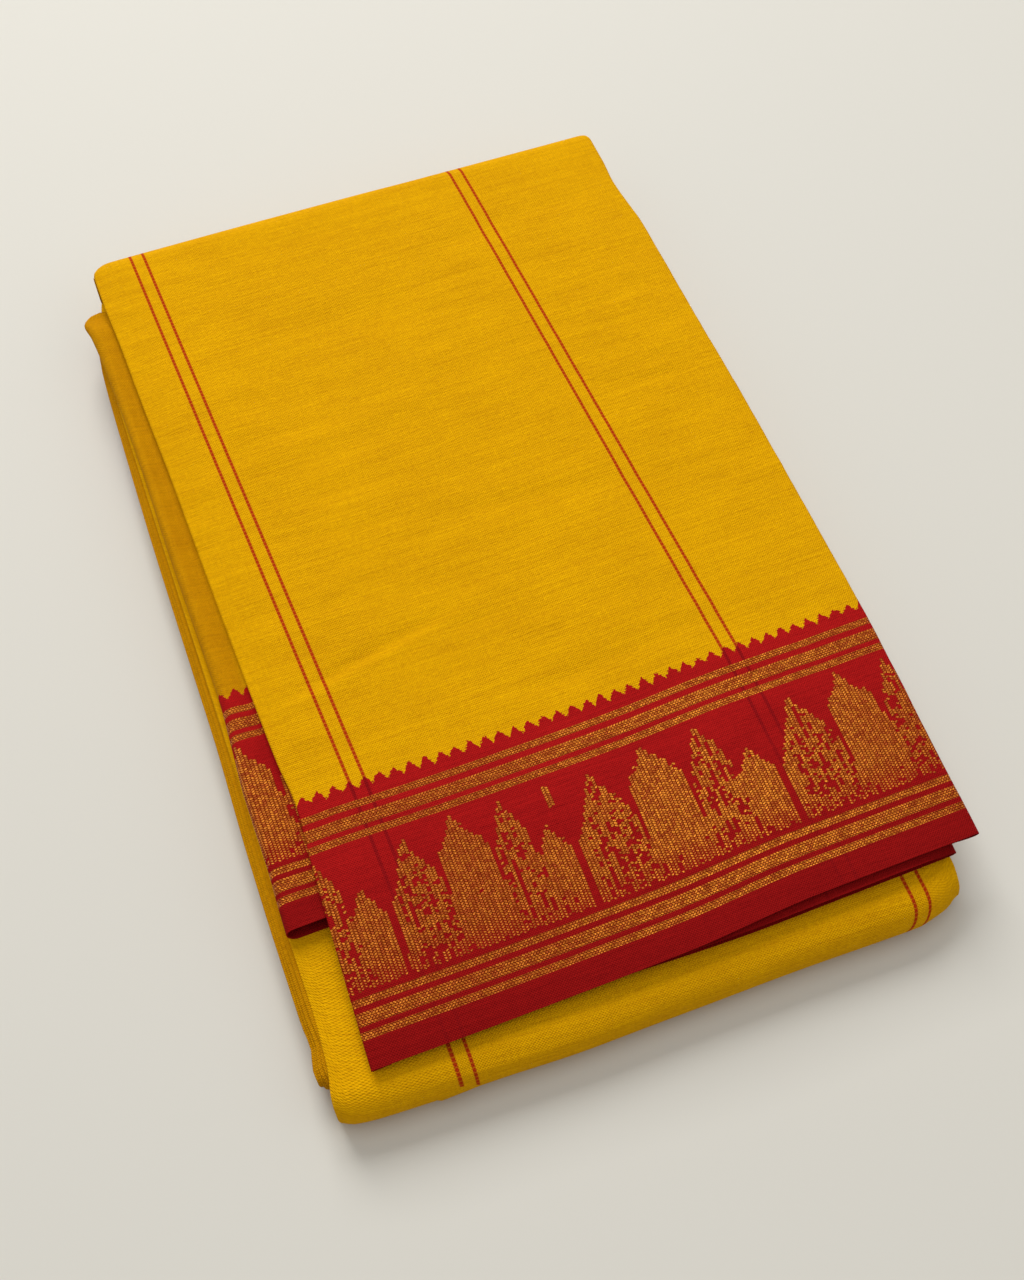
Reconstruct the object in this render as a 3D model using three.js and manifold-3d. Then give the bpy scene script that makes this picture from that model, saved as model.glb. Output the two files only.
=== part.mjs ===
// A folded cotton saree: one length of handloom cloth, mustard yellow with a red border along each
// selvedge, laid in panels and then folded in three across its width. It lies flat on a surface.
//
// Millimetres, +Z up. X runs across the panels and Y from the front selvedge to the back fold.
// The drawing below is made with X = 0 in the middle of the top panel and Y = 0 at its front
// selvedge, and the whole group is moved at the end so that the origin is the middle of the base.
import * as THREE from "three";
import { mergeVertices } from "three/addons/utils/BufferGeometryUtils.js";
import Module from "manifold-3d";

// Driving sizes. Heights and depths of cloth are to the middle of its wall unless they say face.
const CLOTH = 1.2; // wall that stands for one thickness of cloth with its air
const SEAM = 0.3; // gap between two pieces that touch
const BORDER_DEPTH = 107; // red border, from the selvedge to the top of its teeth
const STACK_TOP = 35; // top of the folded stack
const LOWER_TOP = 22.5; // top of the lower two thirds of the stack
const FRONT_TURN = LOWER_TOP / 2; // outer radius of the front fold
const BACK_TURN_Y = 391; // where the top panel starts to turn down at the back
const BACK_TURN_Z = 23.4; // height of that fold's middle
const BACK_TURN = STACK_TOP - BACK_TURN_Z; // outer radius of the back fold
const MIDDLE_BACK = 378; // back end of the middle third under the fold
const BOTTOM_BACK = 389; // back selvedge, at the end of the bottom third
const SIDE_CURL = 1.25; // middle radius of a pressed edge
const RIGHT_CURL = 2.2; // middle radius of the softer fold on the right of the top panel
const LEFT_FLAP = 8; // how far a pressed edge turns under
const RIGHT_FLAP = 16; // how far the top panel turns under on its right
const FLAP_GAP = 0.4; // air between a turned-under edge and its panel
const TOP_END_UNDER = 6; // how far the top panel runs in under itself at the back
// Where the points across a panel stand, closer together near its edges
const MIDDLE_SHARES = [0.03, 0.07, 0.15, 0.28, 0.42, 0.58, 0.72, 0.84, 0.9, 0.94, 0.97];
const CURL_STEPS = 7; // steps round a pressed edge
const TURN_STEPS = 10; // steps round a thick fold

const YELLOW = { color: 0xdba206, roughness: 0.72, metalness: 0 };
const YELLOW_SHADED = { color: 0xc98f05, roughness: 0.75, metalness: 0 };
const RED = { color: 0xa81222, roughness: 0.66, metalness: 0 };

// Outlines of the panels, seen from above
const TOP_EDGES = [
  { y: 0, left: -125.0, right: 126.0 },
  { y: 40, left: -123.2, right: 126.4 },
  { y: 80, left: -121.2, right: 127.5 },
  { y: 107, left: -119.4, right: 128.2 },
  { y: 126, left: -120.9, right: 128.3 },
  { y: 160, left: -122.0, right: 128.3 },
  { y: 220, left: -123.3, right: 128.2 },
  { y: 270, left: -124.1, right: 127.3 },
  { y: 310, left: -125.4, right: 126.9 },
  { y: 334, left: -126.0, right: 126.5 },
  { y: 349, left: -126.3, right: 124.8 },
  { y: 363, left: -126.8, right: 123.7 },
  { y: 376, left: -127.4, right: 124.3 },
  { y: 405, left: -127.6, right: 124.6 },
];
const TOP_FRONT = [
  { x: -128, y: 0.9 },
  { x: -70, y: -0.1 },
  { x: 0, y: -0.8 },
  { x: 57, y: 1.3 },
  { x: 128, y: 1.0 },
];
// How far the top panel sinks at its front edge, where the panels under it are drawn back
const FRONT_SINK = [
  { x: -130, depth: 7.6 },
  { x: -80, depth: 7.4 },
  { x: -20, depth: 5.4 },
  { x: 50, depth: 3.2 },
  { x: 130, depth: 3.2 },
];
const SINK_LENGTH = 78; // how far back the sinking starts
const ROLL_EDGE = [
  { y: 52, x: -138.3 },
  { y: 72, x: -137.6 },
  { y: 90, x: -136.9 },
  { y: 118, x: -136.7 },
  { y: 141, x: -135.3 },
  { y: 165, x: -134.1 },
  { y: 240, x: -134.7 },
  { y: 280, x: -134.3 },
  { y: 345, x: -135.8 },
  { y: 362, x: -137.0 },
  { y: 370, x: -138.4 },
  { y: 374.4, x: -137.0 },
];
const LOOP_EDGE = [
  { y: -5, x: 116.6 },
  { y: 60, x: 117.8 },
  { y: 200, x: 118.4 },
  { y: 390, x: 116.0 },
];
const LOWER_EDGES = [
  { y: -22, left: -139.5, right: 112.6 },
  { y: -12, left: -140.6, right: 114.4 },
  { y: -5, left: -141.7, right: 115.1 },
  { y: 9, left: -139.6, right: 115.4 },
  { y: 30, left: -138.3, right: 115.9 },
  { y: 60, left: -138.1, right: 116.2 },
  { y: 160, left: -137.2, right: 118.8 },
  { y: 300, left: -136.4, right: 121.0 },
  { y: 392, left: -135.6, right: 122.4 },
];
const LOWER_FRONT = [
  { x: -143, y: -8.6 },
  { x: -137, y: -11.6 },
  { x: -128, y: -13.0 },
  { x: -112, y: -14.1 },
  { x: -81, y: -15.6 },
  { x: -42, y: -17.6 },
  { x: 0, y: -18.2 },
  { x: 41, y: -18.9 },
  { x: 84, y: -20.3 },
  { x: 96, y: -20.6 },
  { x: 103, y: -19.4 },
  { x: 109, y: -17.8 },
  { x: 114, y: -14.6 },
];
// The hidden panels show as a few thick folds on the left and right of the lower stack.
const LAYERS = [
  { from: 4.3, to: 9.0, left: 0.0, right: 0.6 },
  { from: 9.0, to: 13.6, left: 1.6, right: -1.2 },
  { from: 13.6, to: 18.2, left: 3.4, right: 0.9 },
];
const LAYER_EDGES = [
  { y: 1.5, left: -139.0, right: 108 },
  { y: 5, left: -143.0, right: 113 },
  { y: 9, left: -146.0, right: 116 },
  { y: 13, left: -145.8, right: 117.6 },
  { y: 20, left: -144.2, right: 118.4 },
  { y: 57, left: -144.0, right: 118.8 },
  { y: 100, left: -143.4, right: 119.4 },
  { y: 153, left: -140.8, right: 119.8 },
  { y: 193, left: -141.4, right: 120.2 },
  { y: 245, left: -140.9, right: 121.0 },
  { y: 301, left: -139.7, right: 121.6 },
  { y: 362, left: -138.2, right: 122.4 },
  { y: 374, left: -136.8, right: 122.0 },
  { y: MIDDLE_BACK, left: -134.0, right: 119.0 },
];

// A smooth curve through the rows of a table that never overshoots them.
function curve(rows, key, value) {
  const x = rows.map((row) => row[key]);
  const y = rows.map((row) => row[value]);
  const slope = x.slice(1).map((end, i) => (y[i + 1] - y[i]) / (end - x[i]));
  const tangent = x.map((_, i) => {
    if (i === 0) return slope[0];
    if (i === x.length - 1) return slope[i - 1];
    const [before, after] = [slope[i - 1], slope[i]];
    return before * after > 0 ? (2 * before * after) / (before + after) : 0;
  });
  return (at) => {
    const clamped = Math.min(Math.max(at, x[0]), x[x.length - 1]);
    const i = Math.max(0, Math.min(x.findIndex((end) => end >= clamped) - 1, x.length - 2));
    const width = x[i + 1] - x[i];
    const t = (clamped - x[i]) / width;
    const rise = (2 * t - 3) * t * t * (y[i] - y[i + 1]) + y[i];
    return rise + width * t * (1 - t) * ((1 - t) * tangent[i] - t * tangent[i + 1]);
  };
}

// Zero before from and one after to, with 3t² - 2t³ between them
function smooth(from, to, at) {
  const t = Math.min(Math.max((at - from) / (to - from), 0), 1);
  return t * t * (3 - 2 * t);
}

// Evenly spaced values, with both ends
function spaced(from, to, count) {
  return Array.from({ length: count + 1 }, (_, i) => from + ((to - from) * i) / count);
}

const topLeft = curve(TOP_EDGES, "y", "left");
const topRight = curve(TOP_EDGES, "y", "right");
const topFront = curve(TOP_FRONT, "x", "y");
const frontSink = curve(FRONT_SINK, "x", "depth");
const rollEdge = curve(ROLL_EDGE, "y", "x");
const loopEdge = curve(LOOP_EDGE, "y", "x");
const lowerLeft = curve(LOWER_EDGES, "y", "left");
const lowerRight = curve(LOWER_EDGES, "y", "right");
const lowerFront = curve(LOWER_FRONT, "x", "y");
const layerLeft = curve(LAYER_EDGES, "y", "left");
const layerRight = curve(LAYER_EDGES, "y", "right");

// Height of the top panel's face: level at the back, sinking towards the front selvedge.
function topHeight(x, y) {
  return STACK_TOP - frontSink(x) * smooth(SINK_LENGTH, 0, y);
}

// A wall of cloth round a grid of points: each point moves half a thickness to both sides.
function clothWall(points) {
  const rows = points.length;
  const columns = points[0].length;
  const difference = (a, b) => new THREE.Vector3().subVectors(a, b);
  const normals = points.map((row, j) =>
    row.map((_, i) => {
      const alongRow = difference(row[Math.min(i + 1, columns - 1)], row[Math.max(i - 1, 0)]);
      const acrossRows = difference(
        points[Math.min(j + 1, rows - 1)][i],
        points[Math.max(j - 1, 0)][i],
      );
      return alongRow.cross(acrossRows).normalize();
    }),
  );
  const vertices = [];
  for (const side of [0.5, -0.5]) {
    points.forEach((row, j) =>
      row.forEach((point, i) =>
        vertices.push(...point.clone().addScaledVector(normals[j][i], side * CLOTH).toArray()),
      ),
    );
  }
  const skin = rows * columns;
  const at = (i, j, side) => side * skin + j * columns + i;
  const faces = [];
  const quad = (a, b, c, d) => faces.push(a, b, c, a, c, d);
  for (let j = 0; j < rows - 1; j++) {
    for (let i = 0; i < columns - 1; i++) {
      quad(at(i, j, 0), at(i + 1, j, 0), at(i + 1, j + 1, 0), at(i, j + 1, 0));
      quad(at(i, j, 1), at(i, j + 1, 1), at(i + 1, j + 1, 1), at(i + 1, j, 1));
    }
  }
  for (let i = 0; i < columns - 1; i++) {
    quad(at(i, 0, 1), at(i + 1, 0, 1), at(i + 1, 0, 0), at(i, 0, 0));
    quad(at(i, rows - 1, 0), at(i + 1, rows - 1, 0), at(i + 1, rows - 1, 1), at(i, rows - 1, 1));
  }
  for (let j = 0; j < rows - 1; j++) {
    quad(at(0, j, 0), at(0, j + 1, 0), at(0, j + 1, 1), at(0, j, 1));
    quad(at(columns - 1, j, 1), at(columns - 1, j + 1, 1), at(columns - 1, j + 1, 0), at(columns - 1, j, 0));
  }
  return facingOut(vertices, faces);
}

// A solid lofted through closed rings of points, each ring with the same number of points.
function loft(rings) {
  const size = rings[0].length;
  const vertices = rings.flat().flatMap((point) => point.toArray());
  const faces = [];
  for (let j = 0; j < rings.length - 1; j++) {
    for (let i = 0; i < size; i++) {
      const [a, b] = [j * size + i, j * size + ((i + 1) % size)];
      faces.push(a, b, b + size, a, b + size, a + size);
    }
  }
  const last = rings.length - 1;
  for (const { j, turned } of [{ j: 0, turned: true }, { j: last, turned: false }]) {
    const middle = new THREE.Vector3();
    rings[j].forEach((point) => middle.addScaledVector(point, 1 / size));
    const centre = vertices.push(...middle.toArray()) / 3 - 1;
    for (let i = 0; i < size; i++) {
      const [a, b] = [j * size + i, j * size + ((i + 1) % size)];
      faces.push(...(turned ? [centre, b, a] : [centre, a, b]));
    }
  }
  return facingOut(vertices, faces);
}

// A geometry from points and faces, turned over if its faces point inwards.
function facingOut(vertices, faces) {
  let volume = 0;
  const point = (i) => new THREE.Vector3().fromArray(vertices, 3 * i);
  for (let k = 0; k < faces.length; k += 3) {
    const [a, b, c] = [point(faces[k]), point(faces[k + 1]), point(faces[k + 2])];
    volume += a.dot(b.cross(c));
  }
  const turned = volume < 0 ? faces.slice().reverse() : faces;
  const geometry = new THREE.BufferGeometry();
  geometry.setAttribute("position", new THREE.Float32BufferAttribute(vertices, 3));
  geometry.setIndex(turned);
  return geometry;
}

// Section of a panel whose two edges are folded under: share is 0 at the left edge and 1 at the
// right, aside is the distance from that edge and inward the depth under the panel's face.
function foldedSection(leftCurl, rightCurl, leftFlap, rightFlap) {
  const pinch = CLOTH + FLAP_GAP;
  const curl = (radius, flap) => [
    { aside: flap, inward: pinch },
    { aside: (flap + radius) / 2, inward: radius + pinch / 2 },
    ...spaced(Math.PI, 0, CURL_STEPS).map((angle) => ({
      aside: radius - radius * Math.sin(angle),
      inward: radius - radius * Math.cos(angle),
    })),
  ];
  const left = curl(leftCurl, leftFlap).map((p) => ({ share: 0, ...p }));
  const right = curl(rightCurl, rightFlap).map((p) => ({ share: 1, ...p, aside: -p.aside }));
  const between = MIDDLE_SHARES.map((share) => ({
    share,
    aside: leftCurl * (1 - share) - rightCurl * share,
    inward: 0,
  }));
  return [...left, ...between, ...right.reverse()];
}

// The top panel: flat from the front selvedge, then round the back fold and a little way under it.
// A station is a share of the flat length, or an angle round the back fold and a run past it.
function topPanel(stations) {
  const section = foldedSection(SIDE_CURL, RIGHT_CURL, LEFT_FLAP, RIGHT_FLAP);
  return stations.map(({ share, angle, under = 0 }) =>
    section.map((p) => {
      const across = (y) => topLeft(y) * (1 - p.share) + topRight(y) * p.share + p.aside;
      if (angle === undefined) {
        const front = topFront(across(0));
        const y = front + (BACK_TURN_Y - front) * share;
        const x = across(y);
        return new THREE.Vector3(x, y, topHeight(x, y) - CLOTH / 2 - p.inward);
      }
      const radius = BACK_TURN - CLOTH / 2 - p.inward;
      const y = BACK_TURN_Y + radius * Math.sin(angle) - under;
      return new THREE.Vector3(across(y), y, BACK_TURN_Z + radius * Math.cos(angle));
    }),
  );
}

function topField() {
  const start = BORDER_DEPTH + SEAM;
  const flat = spaced(start / BACK_TURN_Y, 1, 10).map((share) => ({ share }));
  const turn = spaced(0, Math.PI, TURN_STEPS).slice(1).map((angle) => ({ angle }));
  return clothWall(topPanel([...flat, ...turn, { angle: Math.PI, under: TOP_END_UNDER }]));
}

function topBorder() {
  const shares = [0, 8, 18, 30, 42, 54, 66, 80, BORDER_DEPTH].map((y) => y / BACK_TURN_Y);
  return clothWall(topPanel(shares.map((share) => ({ share }))));
}

// The second panel shows on the left as a soft roll, drawn back from the front edge. Its section is
// a U on its side: an upper leg, the round fold and a lower leg.
const ROLL_FRONT_UPPER = 60.5; // front edge of the upper leg
const ROLL_FRONT_LOWER = 55.5; // and of the lower one
const ROLL_LEG = 26; // how far the legs run in under the top panel
const ROLL_END = 374.4; // back end
const LEG_FLOOR = LOWER_TOP + SEAM + CLOTH / 2;
const ROLL_UNDER_TOP = 4.75; // middle of the roll's upper leg, below the top panel's face

// At its back end the roll closes to a part of its height.
const ROLL_CLOSING_START = 362;
const ROLL_CLOSING_DEPTH = 0.62;

function rollHeight(x, y) {
  const open = topHeight(x, y) - ROLL_UNDER_TOP - LEG_FLOOR;
  return open * (1 - ROLL_CLOSING_DEPTH * smooth(ROLL_CLOSING_START, ROLL_END, y));
}

// One section for each share of the way from the front edge to the back end
function rollWall(shares) {
  const turn = spaced(0, Math.PI, TURN_STEPS);
  return clothWall(
    shares.map((share) => {
      const place = (lower) => {
        const front = ROLL_FRONT_UPPER + (ROLL_FRONT_LOWER - ROLL_FRONT_UPPER) * lower;
        return front + (ROLL_END - front) * share;
      };
      const leg = (lower, aside) => {
        const y = place(lower);
        const x = rollEdge(y) + aside;
        return new THREE.Vector3(x, y, LEG_FLOOR + (1 - lower) * rollHeight(x, y));
      };
      const round = turn.map((angle) => {
        const lower = angle / Math.PI;
        const y = place(lower * lower);
        const edge = rollEdge(y);
        const radius = rollHeight(edge, y) / 2;
        const x = edge + radius * (1 - Math.sin(angle));
        return new THREE.Vector3(x, y, LEG_FLOOR + radius * (1 + Math.cos(angle)));
      });
      return [leg(0, ROLL_LEG), leg(0, ROLL_LEG / 2), ...round, leg(1, ROLL_LEG / 2), leg(1, ROLL_LEG)];
    }),
  );
}

const ROLL_BORDER_SHARE = BORDER_DEPTH / (ROLL_END - ROLL_FRONT_UPPER);
const ROLL_SEAM_SHARE = SEAM / (ROLL_END - ROLL_FRONT_UPPER);

function rollBorder() {
  return rollWall(spaced(0, ROLL_BORDER_SHARE, 8));
}

function rollField() {
  const closingStart = 0.95;
  const straight = spaced(ROLL_BORDER_SHARE + ROLL_SEAM_SHARE, closingStart, 10);
  const closing = spaced(closingStart, 1, 4).slice(1);
  return rollWall([...straight, ...closing]);
}

// The third panel shows as a flat red loop under the front of the top panel, and as a fold on the
// right. Its section is a U on its side that opens to the left.
const LOOP_FRONT = -2.6;
const LOOP_BACK = 374.4;
const LOOP_LEFT_AT_FRONT = -73; // where the border's legs end
const LOOP_LEG_AT_BACK = 26; // length of the field's legs
const LOOP_UNDER_TOP = 2.3; // middle of the upper leg, below the top panel's face
const LOOP_DIP = 3.1; // how much lower it is at the fold, clear of the top panel's turned edge
const LOOP_DIP_START = 15; // the dip starts and ends this far from the fold
const LOOP_DIP_END = 3;
const LOOP_TURN_STEPS = 8;

// One section for each station along Y, with legs that end at leftAt
function loopWall(stations, leftAt) {
  const legShares = [1, 0.8, 0.6, 0.4, 0.24, 0.12, 0.05, 0];
  return clothWall(
    stations.map((y) => {
      const edge = loopEdge(y);
      const top = (x) => {
        const dip = LOOP_DIP * smooth(edge - LOOP_DIP_START, edge - LOOP_DIP_END, x);
        return topHeight(x, Math.max(y, 0)) - LOOP_UNDER_TOP - dip;
      };
      const radius = (top(edge) - LEG_FLOOR) / 2;
      const legStart = edge - radius;
      const legs = legShares.map((share) => legStart - (legStart - leftAt(y)) * share);
      const upper = legs.map((x) => new THREE.Vector3(x, y, top(x)));
      const round = spaced(0, Math.PI, LOOP_TURN_STEPS).slice(1, -1).map((angle) => {
        const z = LEG_FLOOR + radius * (1 + Math.cos(angle));
        return new THREE.Vector3(legStart + radius * Math.sin(angle), y, z);
      });
      const lower = legs.slice().reverse().map((x) => new THREE.Vector3(x, y, LEG_FLOOR));
      return [...upper, ...round, ...lower];
    }),
  );
}

function loopBorder() {
  const stations = [LOOP_FRONT, 6, 18, 32, 48, 64, 82, LOOP_FRONT + BORDER_DEPTH];
  return loopWall(stations, () => LOOP_LEFT_AT_FRONT);
}

function loopField() {
  const start = LOOP_FRONT + BORDER_DEPTH + SEAM;
  return loopWall(spaced(start, LOOP_BACK, 8), (y) => loopEdge(y) - LOOP_LEG_AT_BACK);
}

// The lower stack's outer panel: along the underside, round the front fold and back over the top.
// A station is an angle round the front fold, and a place along Y where it is past that fold.
const LOWER_SIDE_Y = -5; // the panel's sides are read here to place the front fold
const LOWER_TURN_STEPS = 12;

function lowerPanel(stations) {
  const section = foldedSection(SIDE_CURL, SIDE_CURL, LEFT_FLAP, LEFT_FLAP);
  return stations.map(({ angle, y: straight }) =>
    section.map((p) => {
      const across = (y) => lowerLeft(y) * (1 - p.share) + lowerRight(y) * p.share + p.aside;
      const outer = FRONT_TURN - CLOTH / 2;
      const front = lowerFront(across(LOWER_SIDE_Y)) + FRONT_TURN;
      const radius = outer - p.inward;
      const y = straight ?? front - radius * Math.sin(angle);
      return new THREE.Vector3(across(y), y, FRONT_TURN - radius * Math.cos(angle));
    }),
  );
}

const BOTTOM_BORDER_START = BOTTOM_BACK - BORDER_DEPTH;

function lowerWrap() {
  const under = [BOTTOM_BORDER_START - SEAM, 210, 140, 70, 20].map((y) => ({ angle: 0, y }));
  const turn = spaced(0, Math.PI, LOWER_TURN_STEPS).map((angle) => ({ angle }));
  const over = [16, 40, 70, 120, 180, 250, 310, 345, 373].map((y) => ({ angle: Math.PI, y }));
  return clothWall(lowerPanel([...under, ...turn, ...over]));
}

function bottomBorder() {
  const stations = spaced(BOTTOM_BACK, BOTTOM_BORDER_START, 5).map((y) => ({ angle: 0, y }));
  return clothWall(lowerPanel(stations));
}

const SLAB_INSET = 8.8; // clear of the turned-under edges, the slab fills the whole height
const SLAB_STEP = 0.5; // ledge between the slab's full height and its folds
const FOLD_DEPTH = 1.9; // how far each fold on the sides stands out
const FOLD_SHARE = 0.96; // height of a fold, as a share of the room that it has
const FOLD_STEPS = 4;
const LEDGE_GAP = 0.1; // between the outermost folds and the ledges above and below them
const NOSE_START = 1.5; // the slab's front end tapers from here
const NOSE_END = 13;
const NOSE_TAPER = 6.3; // how much lower the roof is, and the floor higher, at its tip
const TAIL_LAP = 8; // how far the bottom third's core runs into the slab
const TAIL_DEPTH = 2.4; // how far its rounded sides stand out
const TAIL_END = BOTTOM_BACK - 1.2;
const TAIL_ROOF = BACK_TURN_Z - BACK_TURN - 0.7; // clear of the back fold above it

// The hidden panels of the lower two thirds: a slab with a few thick folds down both sides.
function lowerLayers() {
  const bottom = CLOTH + SEAM;
  const stations = [1.5, 3, 5, 9, 13, 20, 38, 57, 100, 153, 193, 245, 301, 345, 362, 370, 374, MIDDLE_BACK];
  const ring = (y) => {
    const nose = NOSE_TAPER * (1 - smooth(NOSE_START, NOSE_END, y));
    const roof = LOWER_TOP - CLOTH - SEAM - nose;
    const floor = bottom + nose;
    const ridge = (side, { from, to, left, right }) => {
      const [low, high] = [Math.max(from, floor), Math.min(to, roof)];
      const outer = side < 0 ? layerLeft(y) + left : layerRight(y) + right;
      return spaced(0, Math.PI, FOLD_STEPS).map((angle) => {
        const deep = FOLD_DEPTH * (1 - Math.sin(angle));
        const z = (low + high) / 2 - ((high - low) / 2) * Math.cos(angle) * FOLD_SHARE;
        return new THREE.Vector3(outer - side * deep, y, z);
      });
    };
    const left = Math.max(layerLeft(y), lowerLeft(y)) + SLAB_INSET;
    const right = Math.min(layerRight(y), lowerRight(y)) - SLAB_INSET;
    const corner = (x, z) => new THREE.Vector3(x, y, z);
    const ledge = Math.max(LAYERS[0].from - LEDGE_GAP, floor);
    const shelf = Math.min(LAYERS[LAYERS.length - 1].to + LEDGE_GAP, roof);
    const rightSide = LAYERS.flatMap((row) => ridge(1, row));
    const leftSide = LAYERS.flatMap((row) => ridge(-1, row)).reverse();
    return [
      corner(left - SLAB_STEP, ledge),
      corner(left, floor),
      corner(right, floor),
      corner(right + SLAB_STEP, ledge),
      ...rightSide,
      corner(right + SLAB_STEP, shelf),
      corner(right, roof),
      corner(left, roof),
      corner(left - SLAB_STEP, shelf),
      ...leftSide,
    ];
  };
  const main = loft(stations.map(ring));
  const tail = loft([MIDDLE_BACK - TAIL_LAP, TAIL_END].map(tailRing));
  return [main, tail];
}

// The bottom third runs on past the middle one, as far as the back selvedge.
function tailRing(y) {
  const low = CLOTH + SEAM;
  const half = (TAIL_ROOF - low) / 2;
  const side = (edge, out) =>
    spaced(0, Math.PI, FOLD_STEPS).map((angle) => {
      const x = edge - out * TAIL_DEPTH * (1 - Math.sin(angle));
      return new THREE.Vector3(x, y, low + half - half * Math.cos(angle));
    });
  const [left, right] = [lowerLeft(y) + SLAB_INSET, lowerRight(y) - SLAB_INSET];
  return [...side(right, 1), ...side(left, -1).reverse()];
}

// The hidden panels of the top third fill the room under the top panel, on the lower wrap or, at the
// front, inside the loop's border.
const UPPER_UNDER_TOP = 1.6; // face of the filling below the top panel's face
const UPPER_UNDER_LOOP = 3.3; // and where the loop's upper leg lies between them
const UPPER_LOOP_END = 105; // the loop's border is over the filling up to here
const UPPER_LEFT_FRONT = LOOP_LEFT_AT_FRONT + 4;
const UPPER_LEFT_END = 61; // past the roll's front edge the filling is wider
const UPPER_LEFT_BACK = -106;
const UPPER_RIGHT_GAP = LOOP_LEG_AT_BACK + 3; // from the loop's fold to the filling's right side

function upperLayers() {
  const stations = [6, 20, 40, 58, 64, 72, 90, 104.8, 105.6, 120, 180, 260, 330, 366, 384];
  const shares = spaced(0, 1, 8);
  return loft(
    stations.map((y) => {
      const inLoop = y < UPPER_LOOP_END;
      const left = y < UPPER_LEFT_END ? UPPER_LEFT_FRONT : UPPER_LEFT_BACK;
      const right = loopEdge(y) - UPPER_RIGHT_GAP;
      const under = inLoop ? UPPER_UNDER_LOOP : UPPER_UNDER_TOP;
      const floor = inLoop ? LEG_FLOOR + CLOTH / 2 + SEAM : LOWER_TOP + SEAM;
      const xs = shares.map((share) => left + (right - left) * share);
      const roof = xs.map((x) => new THREE.Vector3(x, y, topHeight(x, y) - under));
      return [new THREE.Vector3(left, y, floor), new THREE.Vector3(right, y, floor), ...roof.reverse()];
    }),
  );
}

// The hidden panels inside the back fold: a bar with a round back, and a slimmer core that runs on to
// both ends between the top panel's turned-under sides.
const BAR = { left: -115, right: 104, front: MIDDLE_BACK - 3 };
const CORE = { left: -125.5, right: 121, front: MIDDLE_BACK - 2, slimmer: 5.4 };

function backLayers() {
  const bar = (radius, { left, right, front }) => {
    const shape = new THREE.Shape();
    shape.moveTo(front, BACK_TURN_Z - radius);
    shape.lineTo(BACK_TURN_Y, BACK_TURN_Z - radius);
    shape.absarc(BACK_TURN_Y, BACK_TURN_Z, radius, -Math.PI / 2, Math.PI / 2, false);
    shape.lineTo(front, BACK_TURN_Z + radius);
    shape.closePath();
    const solid = new THREE.ExtrudeGeometry(shape, {
      depth: right - left,
      bevelEnabled: false,
      curveSegments: 12,
    });
    // The shape is drawn as (Y, Z) and pushed along X.
    solid.applyMatrix4(new THREE.Matrix4().set(0, 0, 1, left, 1, 0, 0, 0, 0, 1, 0, 0, 0, 0, 0, 1));
    return solid;
  };
  const clear = BACK_TURN - CLOTH - SEAM;
  return [bar(clear, BAR), bar(clear - CORE.slimmer, CORE)];
}

const MERGE_DISTANCE = 1e-4;
const wasm = await Module();
wasm.setup();

// One closed solid out of several that overlap
function joined(geometries) {
  const solids = geometries.map((geometry) => {
    const bare = geometry.clone();
    bare.deleteAttribute("normal");
    bare.deleteAttribute("uv");
    const merged = mergeVertices(bare, MERGE_DISTANCE);
    const mesh = new wasm.Mesh({
      numProp: 3,
      vertProperties: new Float32Array(merged.attributes.position.array),
      triVerts: new Uint32Array(merged.index.array),
    });
    return new wasm.Manifold(mesh);
  });
  const made = solids.reduce((all, next) => all.add(next)).getMesh();
  const geometry = new THREE.BufferGeometry();
  geometry.setAttribute("position", new THREE.BufferAttribute(made.vertProperties, 3));
  geometry.setIndex(new THREE.BufferAttribute(made.triVerts, 1));
  return geometry;
}

function hiddenLayers() {
  return joined([...lowerLayers(), upperLayers(), ...backLayers()]);
}

const PIECES = [
  { name: "top_field", make: topField, finish: YELLOW },
  { name: "top_border", make: topBorder, finish: RED },
  { name: "roll_field", make: rollField, finish: YELLOW },
  { name: "roll_border", make: rollBorder, finish: RED },
  { name: "loop_field", make: loopField, finish: YELLOW },
  { name: "loop_border", make: loopBorder, finish: RED },
  { name: "lower_wrap", make: lowerWrap, finish: YELLOW },
  { name: "bottom_border", make: bottomBorder, finish: RED },
  { name: "hidden_layers", make: hiddenLayers, finish: YELLOW_SHADED },
];

const saree = new THREE.Group();
for (const { name, make, finish } of PIECES) {
  const mesh = new THREE.Mesh(make(), new THREE.MeshStandardMaterial(finish));
  mesh.name = name;
  saree.add(mesh);
}

// The origin is the middle of the base of the box that holds the folded saree.
const box = new THREE.Box3().setFromObject(saree);
saree.position.set(-(box.min.x + box.max.x) / 2, -(box.min.y + box.max.y) / 2, 0);
const whole = new THREE.Group();
whole.add(saree);

export default whole;
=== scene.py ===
"""A folded handloom saree: mustard cotton with a red border, dressed over its fixed frame.

Sizes are millimetres in the drawing frame of the folded saree: X runs across the panels, Y from the
front selvedge of the top panel to its back fold, and Z up from the surface that it lies on.
"""

import logging
import math
from dataclasses import dataclass, field
from enum import Enum
from typing import Any, Sequence

import bpy
import numpy as np
from mathutils import Matrix, Vector
from numpy.typing import NDArray


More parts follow.
